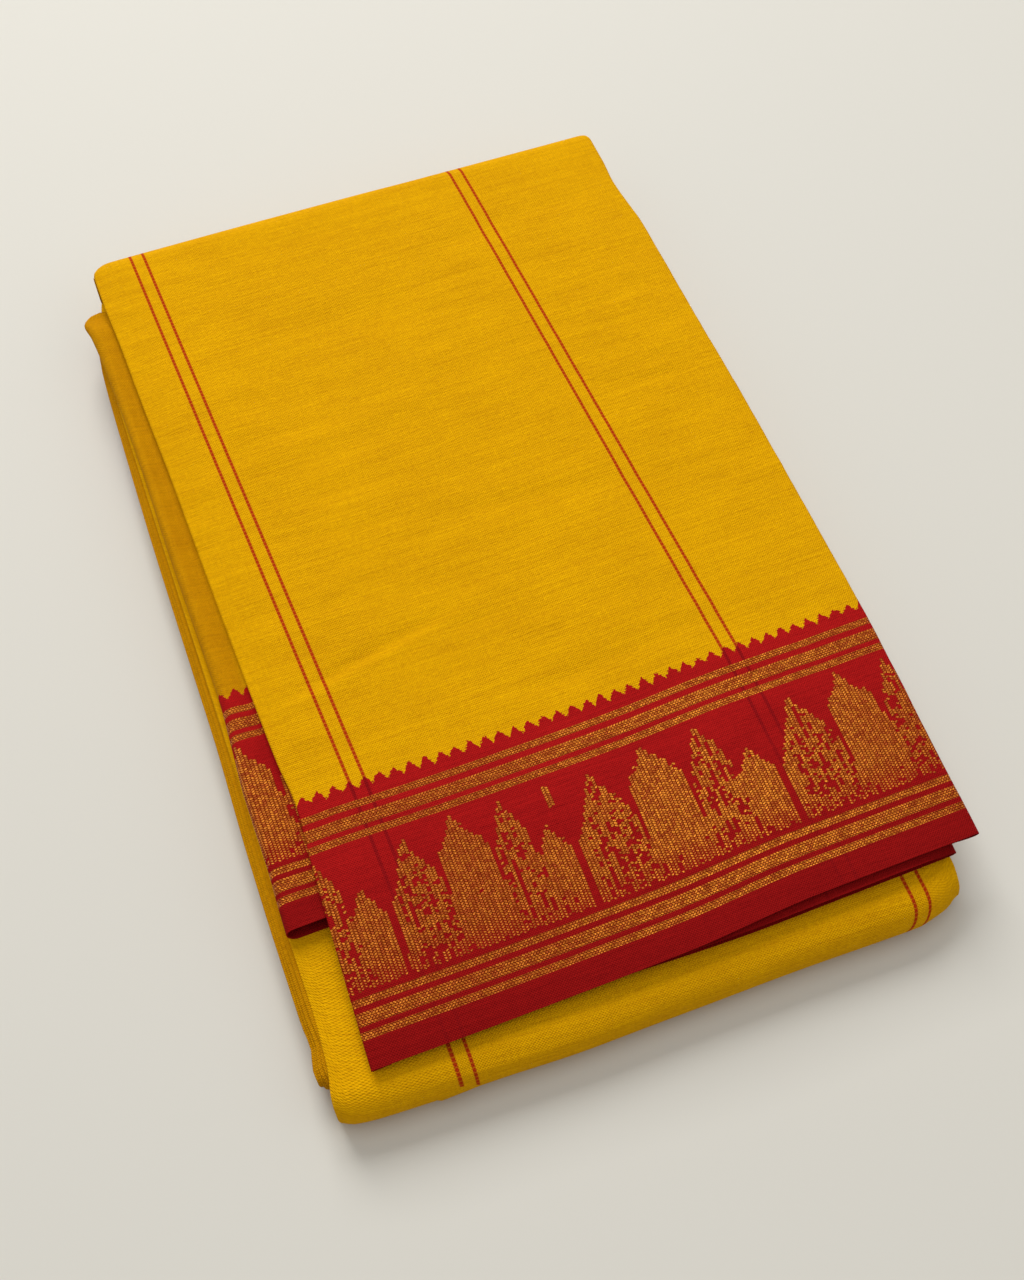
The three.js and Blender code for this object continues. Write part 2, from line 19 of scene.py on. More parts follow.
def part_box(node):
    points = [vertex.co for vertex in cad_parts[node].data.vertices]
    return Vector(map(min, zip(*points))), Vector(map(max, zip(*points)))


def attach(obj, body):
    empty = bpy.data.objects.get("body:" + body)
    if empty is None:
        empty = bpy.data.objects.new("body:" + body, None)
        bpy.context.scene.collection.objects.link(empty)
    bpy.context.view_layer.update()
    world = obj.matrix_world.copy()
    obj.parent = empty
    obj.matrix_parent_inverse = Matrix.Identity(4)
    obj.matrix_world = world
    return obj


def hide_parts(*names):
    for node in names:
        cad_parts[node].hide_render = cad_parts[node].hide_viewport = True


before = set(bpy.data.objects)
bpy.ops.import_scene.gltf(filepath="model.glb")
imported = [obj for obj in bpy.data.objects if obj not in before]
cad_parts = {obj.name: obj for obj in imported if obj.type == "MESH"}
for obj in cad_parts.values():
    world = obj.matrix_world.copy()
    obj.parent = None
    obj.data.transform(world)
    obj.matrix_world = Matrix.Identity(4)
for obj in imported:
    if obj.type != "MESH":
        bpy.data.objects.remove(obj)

Array = NDArray[np.float64]
Pair = tuple[float, float]
Rows = Sequence[Pair]
Tree = bpy.types.NodeTree
Socket = bpy.types.NodeSocket

MM = 0.001
BODY = "root"
CLOTH_MAP = "cloth"  # the UV map that holds each point's place on the flat cloth, in millimetres
COLOURS: dict[str, Any] = {"out": 2, "data_type": "RGBA"}  # makes a Mix node mix colours
LUCK_LAYER = 7.0  # sets a stitch's own chance apart from its brightness
SLUB_LAYER = 40.0  # sets the layers of slubs apart

PLY = 0.5  # thickness of the cotton with its nap
BORDER_DEPTH = 107.0  # from the selvedge to the top of the border's teeth
STACK_TOP = 35.0
LOWER_TOP = 22.5
FRONT_TURN = LOWER_TOP / 2
BACK_TURN_Y = 391.0
BACK_TURN_Z = 23.4
BACK_TURN = STACK_TOP - BACK_TURN_Z
SINK_LENGTH = 78.0
FRONT_LIP = 0.2  # share of the sinking that the last stretch to the selvedge takes
FRONT_LIP_LENGTH = 13.0
FRAME_LEFT = -125.5  # lowest X and Y of the top panel's border in the drawing frame
FRAME_FRONT = -0.8
SIDE = 0.6  # the sides' tables give the middle of a 1.2 mm wall, whose face lies this far out
CURL_POINTS = 9  # round each folded side
FLAP_STEPS = 5
FLAP_END = 1.1  # depth of a flap's free end under the panel's face
SHARP_ANGLE = math.radians(55)  # edges that turn more than this are drawn sharp

log = logging.getLogger("saree")


class Slot(Enum):
    """Names of material slots, one listed with each piece."""

    MUSTARD = "mustard_cotton"
    BORDER = "red_border"


TOP_LEFT: Rows = (
    (0, -125.0), (40, -123.2), (80, -121.2), (107, -119.4), (126, -120.9), (160, -122.0),
    (220, -123.3), (270, -124.1), (310, -125.4), (349, -126.3), (376, -127.4), (405, -127.6),
)
TOP_RIGHT: Rows = (
    (0, 126.0), (40, 126.4), (80, 127.5), (107, 128.2), (160, 128.3), (220, 128.2), (270, 127.3),
    (334, 126.5), (349, 124.8), (363, 123.7), (376, 124.3), (405, 124.6),
)
TOP_FRONT: Rows = ((-128, 0.9), (-70, -0.1), (0, -0.8), (57, 1.3), (128, 1.0))
FRONT_SINK: Rows = ((-130, 7.6), (-80, 7.4), (-20, 5.4), (50, 3.2), (130, 3.2))
ROLL_EDGE: Rows = (
    (52, -138.3), (72, -137.6), (90, -136.9), (118, -136.7), (141, -135.3), (165, -134.1),
    (240, -134.7), (280, -134.3), (345, -135.8), (362, -137.0), (371, -138.4), (376, -137.0),
)
LOOP_EDGE: Rows = ((-5, 115.9), (60, 117.8), (200, 118.4), (390, 116.0))
LOWER_LEFT: Rows = (
    (-22, -140.9), (-12, -141.6), (-5, -141.9), (9, -139.6), (30, -138.3), (60, -138.1),
    (160, -137.2), (300, -136.0), (345, -135.2), (365, -133.2), (378, -129.8), (392, -126.0),
)
LOWER_RIGHT: Rows = (
    (-22, 112.6), (-12, 114.4), (-5, 115.1), (9, 115.4), (30, 115.9), (60, 116.2), (160, 118.8),
    (300, 121.0), (392, 122.4),
)
LOWER_FRONT: Rows = (
    (-143, -8.6), (-137, -11.6), (-128, -13.0), (-112, -14.1), (-81, -15.6), (-42, -17.6),
    (0, -18.2), (41, -18.9), (84, -20.3), (96, -20.6), (103, -19.4), (109, -17.8), (114, -14.6),
)


def curve(rows: Rows, at: Array | float) -> Array:
    """A smooth curve through a table that never overshoots its rows.

    Between two rows the value is a cubic whose end slopes are the harmonic mean of the slopes on
    both sides, or zero where the table turns.

    Args:
        rows: (place, value) pairs in rising order of place.
        at: The places to read, which are held inside the table.

    Returns:
        The value at each place.
    """
    x, y = (np.array(column, float) for column in zip(*rows))
    slope = np.diff(y) / np.diff(x)
    before, after = slope[:-1], slope[1:]
    total = np.where(before * after > 0, before + after, 1.0)
    inner = np.where(before * after > 0, 2 * before * after / total, 0.0)
    tangent = np.concatenate([slope[:1], inner, slope[-1:]])
    place = np.clip(np.asarray(at, float), x[0], x[-1])
    i = np.clip(np.searchsorted(x, place) - 1, 0, len(x) - 2)
    width = x[i + 1] - x[i]
    t = (place - x[i]) / width
    rise = (2 * t - 3) * t * t * (y[i] - y[i + 1]) + y[i]
    return rise + width * t * (1 - t) * ((1 - t) * tangent[i] - t * tangent[i + 1])


def smooth(start: float | Array, end: float | Array, at: Array | float) -> Array:
    """Zero before start and one after end, with 3t² - 2t³ between them."""
    t = np.clip((np.asarray(at, float) - start) / (end - start), 0, 1)
    return t * t * (3 - 2 * t)


def top_height(x: Array, y: Array) -> Array:
    """Height of the top panel's face: level, then sinking to the front selvedge, which turns down."""
    lip = FRONT_LIP * np.clip(1 - y / FRONT_LIP_LENGTH, 0, 1) ** 2
    return STACK_TOP - curve(FRONT_SINK, x) * ((1 - FRONT_LIP) * smooth(SINK_LENGTH, 0, y) + lip)


@dataclass(frozen=True)
class Crease:
    """A soft trough or ridge along a straight line on a panel, seen from above.

    Attributes:
        start: Where it starts.
        end: Where it ends.
        width: How wide it is from side to side.
        height: Its height in the middle, below zero for a trough.
        rising: Shares of its length between which it rises.
        fading: Shares of its length between which it fades.
    """

    start: Pair
    end: Pair
    width: float
    height: float
    rising: Pair = (-0.12, 0.3)
    fading: Pair = (0.65, 1.12)

    def relief(self, x: Array, y: Array) -> Array:
        """Height times a bell across the line, faded towards both of its ends.

        Args:
            x: Places across the panel.
            y: Places along it.

        Returns:
            The height that it adds at each place.
        """
        along = np.subtract(self.end, self.start)
        length = float(np.hypot(*along))
        dx, dy = x - self.start[0], y - self.start[1]
        share = (dx * along[0] + dy * along[1]) / length**2
        aside = (dx * along[1] - dy * along[0]) / length
        fade = smooth(*self.rising, share) * (1 - smooth(*self.fading, share))
        return self.height * fade * np.exp(-((2.0 * aside / self.width) ** 2))


@dataclass(frozen=True)
class Ripples:
    """Fine uneven waves that cotton keeps after it is washed and folded.

    Attributes:
        height: Typical height of a wave.
        spacing: Typical distance from crest to crest.
        seed: Starts the draw of directions and phases.
        count: How many wave trains are added up.
        lengths: Shortest and longest wave, as shares of the spacing.
        turning: How far their directions differ, in radians.
        patches: Smallest and largest size of the patches.
    """

    height: float
    spacing: float
    seed: int
    count: int = 18
    lengths: Pair = (0.55, 1.9)
    turning: float = 0.22
    patches: Pair = (60.0, 150.0)

    def relief(self, x: Array, y: Array) -> Array:
        """A sum of sine waves that run mostly across Y, each within its own slow patches.

        Args:
            x: Places across the panel.
            y: Places along it.

        Returns:
            The height that the waves add at each place.
        """
        draw = np.random.default_rng(self.seed)
        total = np.zeros(np.broadcast(x, y).shape)
        for _ in range(self.count):
            length = self.spacing * draw.uniform(*self.lengths)
            turn = draw.normal(0, self.turning)
            phase, patch = draw.uniform(0, 2 * np.pi, 2)
            reach = draw.uniform(*self.patches)
            along = x * np.sin(turn) + y * np.cos(turn)
            gate = 0.5 + 0.5 * np.sin(x / reach * 2 + y / reach * 1.3 + patch)
            total += gate**2 * np.sin(2 * np.pi * along / length + phase) * length / self.spacing
        return self.height * total / math.sqrt(self.count)


@dataclass
class Shell:
    """A piece of cloth: a grid of points on its outer face, with a thickness inwards.

    Attributes:
        points: Rows and columns of points, in the drawing frame.
        cloth: Each point's place on the flat cloth: along the saree, and from the selvedge.
        thickness: How far the inner face lies behind the outer one.
    """

    points: Array
    cloth: Array
    thickness: float = PLY

    def normals(self) -> Array:
        """Unit normals: the cross product of the grid's two directions, made to point outwards.

        Returns:
            The normal at each point.
        """
        across = np.gradient(self.points, axis=1)
        along = np.gradient(self.points, axis=0)
        normal = np.cross(across, along)
        return normal / np.linalg.norm(normal, axis=2, keepdims=True)

    def vertices(self) -> tuple[Array, Array]:
        """The outer face's points and then the inner face's, which lie a thickness behind them.

        Returns:
            The points, and the place of each on the flat cloth.
        """
        inner = self.points - self.normals() * self.thickness
        points = np.concatenate([self.points.reshape(-1, 3), inner.reshape(-1, 3)])
        return points, np.concatenate([self.cloth.reshape(-1, 2)] * 2)

    def faces(self) -> NDArray[np.int64]:
        """Quads of both faces, and of the rim that joins them on all four sides.

        Returns:
            The four vertices of each quad.
        """
        rows, columns = self.points.shape[:2]
        index = np.arange(rows * columns).reshape(rows, columns)
        skin = rows * columns
        quads = np.stack([index[:-1, :-1], index[:-1, 1:], index[1:, 1:], index[1:, :-1]], -1)
        outer = quads.reshape(-1, 4)
        rim = np.concatenate([index[0, :], index[1:, -1], index[-1, -2::-1], index[-2::-1, 0]])
        a, b = rim[:-1], rim[1:]
        edge = np.stack([b, a, a + skin, b + skin], -1)
        return np.concatenate([outer, outer[:, ::-1] + skin, edge])


def cloth_object(name: str, shells: Sequence[Shell], origin: Array) -> bpy.types.Object:
    """Makes one mesh object of one or more shells of cloth.

    Args:
        name: The piece's name.
        shells: The shells, in the drawing frame.
        origin: The drawing frame's origin in the part's frame, in metres.

    Returns:
        The object, with its place in its mesh and its cloth map filled in.
    """
    points, cloth, faces = [], [], []
    start = 0
    for shell in shells:
        found, places = shell.vertices()
        points.append(found)
        cloth.append(places)
        faces.append(shell.faces() + start)
        start += len(found)
    co = np.concatenate(points) * MM + origin
    quads = np.concatenate(faces)
    place = np.concatenate(cloth)[quads.ravel()]
    mesh = bpy.data.meshes.new(name)
    mesh.vertices.add(len(co))
    mesh.vertices.foreach_set("co", co.astype(np.float32).ravel())
    mesh.loops.add(quads.size)
    mesh.loops.foreach_set("vertex_index", quads.ravel().astype(np.int32))
    mesh.polygons.add(len(quads))
    mesh.polygons.foreach_set("loop_start", np.arange(0, quads.size, 4, dtype=np.int32))
    mesh.update(calc_edges=True)
    mesh.uv_layers.new(name=CLOTH_MAP)
    mesh.uv_layers[CLOTH_MAP].uv.foreach_set("vector", place.astype(np.float32).ravel())
    mesh.polygons.foreach_set("use_smooth", np.ones(len(quads), bool))
    mesh.set_sharp_from_angle(angle=SHARP_ANGLE)
    mesh.validate()
    made = bpy.data.objects.new(name, mesh)
    bpy.context.scene.collection.objects.link(made)
    return made


def stacked(*rows: Array) -> Array:
    """Coordinates that broadcast together, stacked into points."""
    return np.stack(np.broadcast_arrays(*rows), -1)


def arc_length(points: Array) -> Array:
    """Length of each row of points, added up from its first point."""
    step = np.linalg.norm(np.diff(points, axis=1), axis=2)
    return np.concatenate([np.zeros((len(points), 1)), np.cumsum(step, axis=1)], axis=1)


def u_profile(leg: Array, turn: Array) -> tuple[Array, Array]:
    """A U on its side: a leg, a fold and a second leg that runs back.

    Args:
        leg: Share of the leg's length at each point of it, from its end, 1, towards the fold, 0.
        turn: Angles round the fold.

    Returns:
        How far from the fold each point lies, as a share of the leg, and its angle round the fold.
    """
    reach = np.concatenate([leg, np.zeros(len(turn)), leg[::-1]])
    bend = np.concatenate([np.zeros(len(leg)), turn, np.full(len(leg), np.pi)])
    return reach[None, :], bend[None, :]


def total_relief(creases: Sequence[Crease], ripples: Ripples, x: Array, y: Array) -> Array:
    """A panel's creases and ripples, added up."""
    return sum(crease.relief(x, y) for crease in creases) + ripples.relief(x, y)


@dataclass(frozen=True)
class Section:
    """Section of a panel whose two sides are folded under, as rows that broadcast along it.

    Attributes:
        share: 0 at the left side and 1 at the right.
        aside: Distance from that side, to the right.
        inward: Depth under the panel's face.
    """

    share: Array
    aside: Array
    inward: Array

    @classmethod
    def folded(
        cls, curls: Pair, flaps: Pair, middle: int
    ) -> "Section":
        """A flat middle with a half circle at each side and a flap that runs back under it.

        Args:
            curls: Outer radius of the left and right folds.
            flaps: How far each flap runs back from its side.
            middle: How many steps cross the middle.

        Returns:
            The section, from the left flap's end to the right flap's end.
        """
        sides = []
        angle = np.linspace(0, np.pi, CURL_POINTS)
        back = np.linspace(0, 1, FLAP_STEPS + 1)[1:]
        for radius, flap in zip(curls, flaps):
            aside = np.concatenate([radius - radius * np.sin(angle), radius + (flap - radius) * back])
            lift = 2 * radius - (2 * radius - min(2 * radius, FLAP_END)) * smooth(0, 1, back)
            sides.append((aside, np.concatenate([radius - radius * np.cos(angle), lift])))
        (left, left_in), (right, right_in) = sides
        share = np.linspace(0, 1, middle + 1)[1:-1]
        between = curls[0] * (1 - share) - curls[1] * share
        rows = (
            np.concatenate([np.zeros(len(left)), share, np.ones(len(right))]),
            np.concatenate([left[::-1], between, -right]),
            np.concatenate([left_in[::-1], np.zeros(len(share)), right_in]),
        )
        return cls(*(row[None, :] for row in rows))

    def between(self, left: Array, right: Array) -> Array:
        """Places from the left side to the right one: left (1 - share) + right share + aside."""
        return left * (1 - self.share) + right * self.share + self.aside

    def across(self, left: Rows, right: Rows, y: Array) -> Array:
        """Places across a panel, whose sides' tables give the middle of their walls."""
        return self.between(curve(left, y) - SIDE, curve(right, y) + SIDE)


@dataclass
class TopPanel:
    """The top panel: flat, then round the back fold and a little way back under it."""

    curls: Pair = (1.0, 1.7)
    flaps: Pair = (8.0, 16.0)
    columns: int = 150
    field_rows: tuple[int, int] = (164, 30)  # on the flat, and round the back fold
    border_rows: int = 78
    tuck: float = 6.0  # how far it runs back under the back fold
    droop: float = 1.3  # how far the left side sags
    droop_width: float = 15.0
    droop_start: float = 60.0  # the sag grows over this length
    calm: Pair = (12.0, 0.2)  # the relief shrinks to this share over this length
    tallest: float = 0.9  # no crease stands up further
    weft_lean: Pair = (0.0474, 6.0e-5)  # past the border, and its change with X
    side_follow: float = 0.6  # how far the sides' tables are followed round the back fold
    relief_end: float = 1.2  # angle round the back fold at which the relief has faded
    left_corner: float = 9.0  # how far the round back corners reach along the back
    right_corner: float = 4.0
    corner_depth: float = 0.9  # depth of a round corner, as a share of its reach
    back_pull: Rows = (
        (-128, 0.6), (-100, 0.4), (-60, 0.2), (0, 0.3), (40, 0.9), (110, 1.2), (128, 1.2),
    )
    pull_drop: float = 0.14  # how far it sinks where it is drawn in, as a share
    pull_drop_over: Pair = (370.0, 392.0)
    creases: tuple[Crease, ...] = (
        Crease((-112, 150), (-30, 166), 5.0, -0.75),
        Crease((-112, 145), (-40, 160), 4.0, 0.35),
        Crease((-60, 330), (20, 318), 26.0, -0.9),
        Crease((-20, 210), (95, 196), 9.0, -0.45),
        Crease((-95, 262), (10, 276), 11.0, 0.4),
        Crease((20, 352), (118, 362), 10.0, -0.4),
        Crease((-30, 118), (80, 126), 7.0, -0.35),
        Crease((60, 250), (120, 243), 8.0, -0.4),
        Crease((-105, 320), (-70, 250), 14.0, 0.45),
        Crease((88, 120), (122, 40), 13.0, -0.5),
        Crease((-100, 70), (-20, 52), 16.0, -0.45),
        Crease((0, 30), (90, 40), 14.0, 0.3),
    )
    ripples: Ripples = Ripples(0.15, 15.0, 11)
    grain: Ripples = Ripples(0.045, 5.5, 12)
    # How far the beaten weft sways out along the border's inner edge
    sway: Rows = (
        (-126, -0.1), (-112, -0.25), (-60, -0.75), (-22, -0.4), (20, 0.1), (100, 0.6), (128, 0.7),
    )
    sway_reach: float = 90.0

    def relief(self, x: Array, y: Array) -> Array:
        """Creases, ripples and the sag of the left side, added up.

        Args:
            x: Places across the panel.
            y: Places along it.

        Returns:
            The height that they add at each place.
        """
        total = total_relief(self.creases, self.ripples, x, y) + self.grain.relief(x, y)
        length, least = self.calm
        inside = smooth(0, length, y) * (1 - least) + least
        near = curve(TOP_LEFT, y) + self.droop_width - x
        sag = self.droop * smooth(0, self.droop_width, near)
        return np.minimum(total * inside, self.tallest) - sag * smooth(0, self.droop_start, y)

    def corner_pull(self, x: Array, y: Array) -> Array:
        """How far the back fold is drawn in, most at its ends: a quarter circle at each corner.

        Args:
            x: Places across the panel.
            y: Places along it.

        Returns:
            The distance at each place.
        """
        left = np.clip(1 - (x - curve(TOP_LEFT, y) + SIDE) / self.left_corner, 0, 1)
        right = np.clip(1 - (curve(TOP_RIGHT, y) + SIDE - x) / self.right_corner, 0, 1)
        reach = self.left_corner * (1 - np.sqrt(1 - left**2))
        reach = reach + self.right_corner * (1 - np.sqrt(1 - right**2))
        return curve(self.back_pull, x) + self.corner_depth * reach

    def sheared(self, x: Array, y: Array) -> Array:
        """Place along the saree, whose weft leans to the left past the border."""
        lean, change = self.weft_lean
        return x + np.maximum(y - BORDER_DEPTH, 0) * (lean + change * x)

    def surface(self, run: Array) -> Shell:
        """The panel over a stretch of cloth.

        The face is at the stack's height, and past the back it turns on a half circle:
        y = turn + r sin a, z = middle + r cos a, with a the distance past the turn over r.

        Args:
            run: Distances along the cloth from the front selvedge, in rising order.

        Returns:
            The shell of cloth.
        """
        section = Section.folded(self.curls, self.flaps, self.columns)
        along = run[:, None]
        past = np.maximum(along - BACK_TURN_Y, 0)
        turn = np.minimum(past / BACK_TURN, np.pi)
        under = np.maximum(past - np.pi * BACK_TURN, 0)
        front = curve(TOP_FRONT, section.across(TOP_LEFT, TOP_RIGHT, np.zeros_like(along)))
        y = front + (BACK_TURN_Y - front) * np.minimum(along, BACK_TURN_Y) / BACK_TURN_Y
        x = section.across(TOP_LEFT, TOP_RIGHT, y + past * self.side_follow)
        radius = BACK_TURN - section.inward
        level = top_height(x, y) - BACK_TURN_Z - section.inward
        lift = self.relief(x, y) * (1 - smooth(0, self.relief_end, past / BACK_TURN))
        bend = np.where(past > 0, radius, level)
        pull = self.corner_pull(x, y)
        sinking = smooth(*self.pull_drop_over, y + BACK_TURN * np.sin(turn))
        height = BACK_TURN_Z + bend * np.cos(turn) + lift - self.pull_drop * pull * sinking
        place = y + (radius - pull) * np.sin(turn) - under
        swayed = along - curve(self.sway, x) * np.minimum(along / self.sway_reach, 1)
        return Shell(stacked(x, place, height), stacked(self.sheared(x, along), swayed))

    def field(self) -> Shell:
        """The yellow stretch, from the border to past the back fold.

        Returns:
            The shell of cloth.
        """
        flat, round_back = self.field_rows
        turned = BACK_TURN_Y + math.pi * BACK_TURN
        level = np.linspace(BORDER_DEPTH, BACK_TURN_Y, flat + 1)[:-1]
        end = turned + self.tuck
        round_run = np.linspace(BACK_TURN_Y, turned, round_back)
        return self.surface(np.concatenate([level, round_run, [end - self.tuck / 2, end]]))

    def border(self) -> Shell:
        """The red stretch at the front selvedge."""
        return self.surface(np.linspace(0, BORDER_DEPTH, self.border_rows))


@dataclass
class LeftRoll:
    """The second panel, which shows on the left as a soft hollow roll, drawn back from the front."""

    front_upper: float = 60.5
    front_lower: float = 58.8
    leg: float = 26.0
    back: float = 376.0
    top_depth: float = 4.7  # outer face under the top panel's face
    read_at: float = 3.0  # how far inside its edge the top panel's height is read
    floor: float = LOWER_TOP + 0.35
    corner: float = 6.0  # radius of its round back corner, seen from above
    pinch: float = 0.62  # share of its height that it loses at the back
    pinch_from: float = 360.0
    squareness: Pair = (0.85, 1.0)  # power of its round side, at the front and past it
    squareness_over: Pair = (60.0, 160.0)
    leg_rise: float = 0.1
    relief_until: Pair = (0.3, 0.7)  # shares of the fold over which its relief fades
    lip: float = 4.0  # the relief starts over this length from its front edge
    legs: int = 21
    turns: int = 25
    rows: tuple[int, int] = (170, 80)  # of its field and of its border
    pattern_shift: float = -4.1  # brings the border's spires where they show
    depth_scale: float = 1.035  # its border is pressed a little narrower
    creases: tuple[Crease, ...] = (
        Crease((-131, 352), (-127, 190), 5.0, -0.9),
        Crease((-134, 300), (-133, 170), 3.0, 0.5),
        Crease((-132, 150), (-130, 70), 5.0, -0.5),
        Crease((-127.6, 430), (-122.5, 0), 8.0, -1.6),
    )
    ripples: Ripples = Ripples(0.07, 12.0, 21)

    def surface(self, share: Array) -> Shell:
        """A U on its side: an upper leg, a round fold with the roll's height, and a lower leg.

        Args:
            share: Places from the front end, 0, to the back end, 1.

        Returns:
            The shell of cloth.
        """
        leg = np.linspace(1, 0, self.legs + 1)[:-1]
        reach, bend = u_profile(leg, np.linspace(0, np.pi, self.turns))
        lower = bend / np.pi
        front = self.front_upper + (self.front_lower - self.front_upper) * lower**2
        y = front + (self.back - front) * share[:, None]
        near_back = np.clip((y - self.back + self.corner) / self.corner, 0, 1)
        edge = curve(ROLL_EDGE, y) - SIDE + self.corner * (1 - np.sqrt(1 - near_back**2))
        closing = 1 - self.pinch * smooth(self.pinch_from, self.back, y)
        room = top_height(edge + self.read_at, y) - self.top_depth - self.floor
        radius = room * closing / 2
        square, plain = self.squareness
        soft = square + (plain - square) * smooth(*self.squareness_over, y)
        x = edge + radius * (1 - np.sin(bend) ** soft) + reach * self.leg
        z = self.floor + radius * (1 + np.cos(bend)) + (1 - lower) * reach * self.leg_rise
        upper = 1 - smooth(*self.relief_until, lower)
        relief = total_relief(self.creases, self.ripples, x, y)
        points = stacked(x, y, z + relief * upper * smooth(0, self.lip, y - front))
        along = self.pattern_shift + (curve(ROLL_EDGE, y) + self.leg) - arc_length(points)
        return Shell(points, stacked(along, (y - front) * self.depth_scale))

    @property
    def border_share(self) -> float:
        """Share of the roll's length that its border takes."""
        return BORDER_DEPTH / (self.back - self.front_upper)

    def field(self) -> Shell:
        """The yellow stretch."""
        return self.surface(np.linspace(self.border_share, 1, self.rows[0]))

    def border(self) -> Shell:
        """The red stretch at the front."""
        return self.surface(np.linspace(0, self.border_share, self.rows[1]))


@dataclass
class RightLoop:
    """The third panel: a flat red loop under the front of the top panel, and a fold on the right."""

    front: float = -1.7
    back: float = 374.4
    left_at_front: float = -73.0
    set_back: float = 4.2  # how far its front edge is drawn back at its left end
    set_back_over: Pair = (-74.0, 40.0)
    set_back_until: Pair = (14.0, -2.6)
    leg_at_back: float = 26.0
    top_depth: float = 2.7  # outer face under the top panel's face
    edge_depth: float = 2.4  # how much deeper it lies near its round edge
    edge_slope: Pair = (15.0, 3.0)
    floor: float = LOWER_TOP + 0.35
    crowding: float = 1.6  # power that draws the legs' points together at the fold
    turns: int = 17
    field_grid: tuple[int, int] = (100, 12)  # rows, and steps of each leg
    border_grid: tuple[int, int] = (60, 60)
    pattern_shift: float = -60.0
    ripples: Ripples = Ripples(0.06, 14.0, 31)

    def top(self, x: Array, y: Array) -> Array:
        """Height of its upper face, under the top panel and lower towards its round edge.

        Args:
            x: Places across the panel.
            y: Places along it.

        Returns:
            The height at each place.
        """
        far, near = (curve(LOOP_EDGE, y) + SIDE - inside for inside in self.edge_slope)
        sunk = self.edge_depth * smooth(far, near, x)
        return top_height(x, np.maximum(y, 0)) - self.top_depth - sunk

    def surface(self, y: Array, legs: int, bordered: bool) -> Shell:
        """A U on its side that opens to the left, as high as the top panel leaves room for.

        Args:
            y: Places from the front to the back.
            legs: How many steps each leg has.
            bordered: Whether this is the border, whose legs run far to the left.

        Returns:
            The shell of cloth.
        """
        leg = np.linspace(1, 0, legs + 1)[:-1] ** self.crowding
        reach, bend = u_profile(leg, np.linspace(0, np.pi, self.turns))
        place = y[:, None]
        edge = curve(LOOP_EDGE, place) + SIDE
        left = self.left_at_front if bordered else edge - self.leg_at_back
        radius = (self.top(edge, place) - self.floor) / 2
        start = edge - radius
        x = start - (start - left) * reach + radius * np.sin(bend)
        lower = (1 - np.cos(bend)) / 2
        z = self.top(x, place) * (1 - lower) + self.floor * lower
        fold = (reach == 0) & (bend > 0)
        z = np.where(fold, self.floor + radius * (1 + np.cos(bend)), z)
        z = z + self.ripples.relief(x, place) * (1 - lower)
        fading = smooth(*self.set_back_until, place)
        drawn_back = self.set_back * (1 - smooth(*self.set_back_over, x)) * fading
        points = stacked(x, place + drawn_back, z)
        return Shell(points, stacked(arc_length(points) + self.pattern_shift, place - self.front))

    def field(self) -> Shell:
        """The yellow stretch, whose legs are short."""
        rows, legs = self.field_grid
        return self.surface(np.linspace(self.front + BORDER_DEPTH, self.back, rows), legs, False)

    def border(self) -> Shell:
        """The red stretch at the front."""
        rows, legs = self.border_grid
        return self.surface(np.linspace(self.front, self.front + BORDER_DEPTH, rows), legs, True)


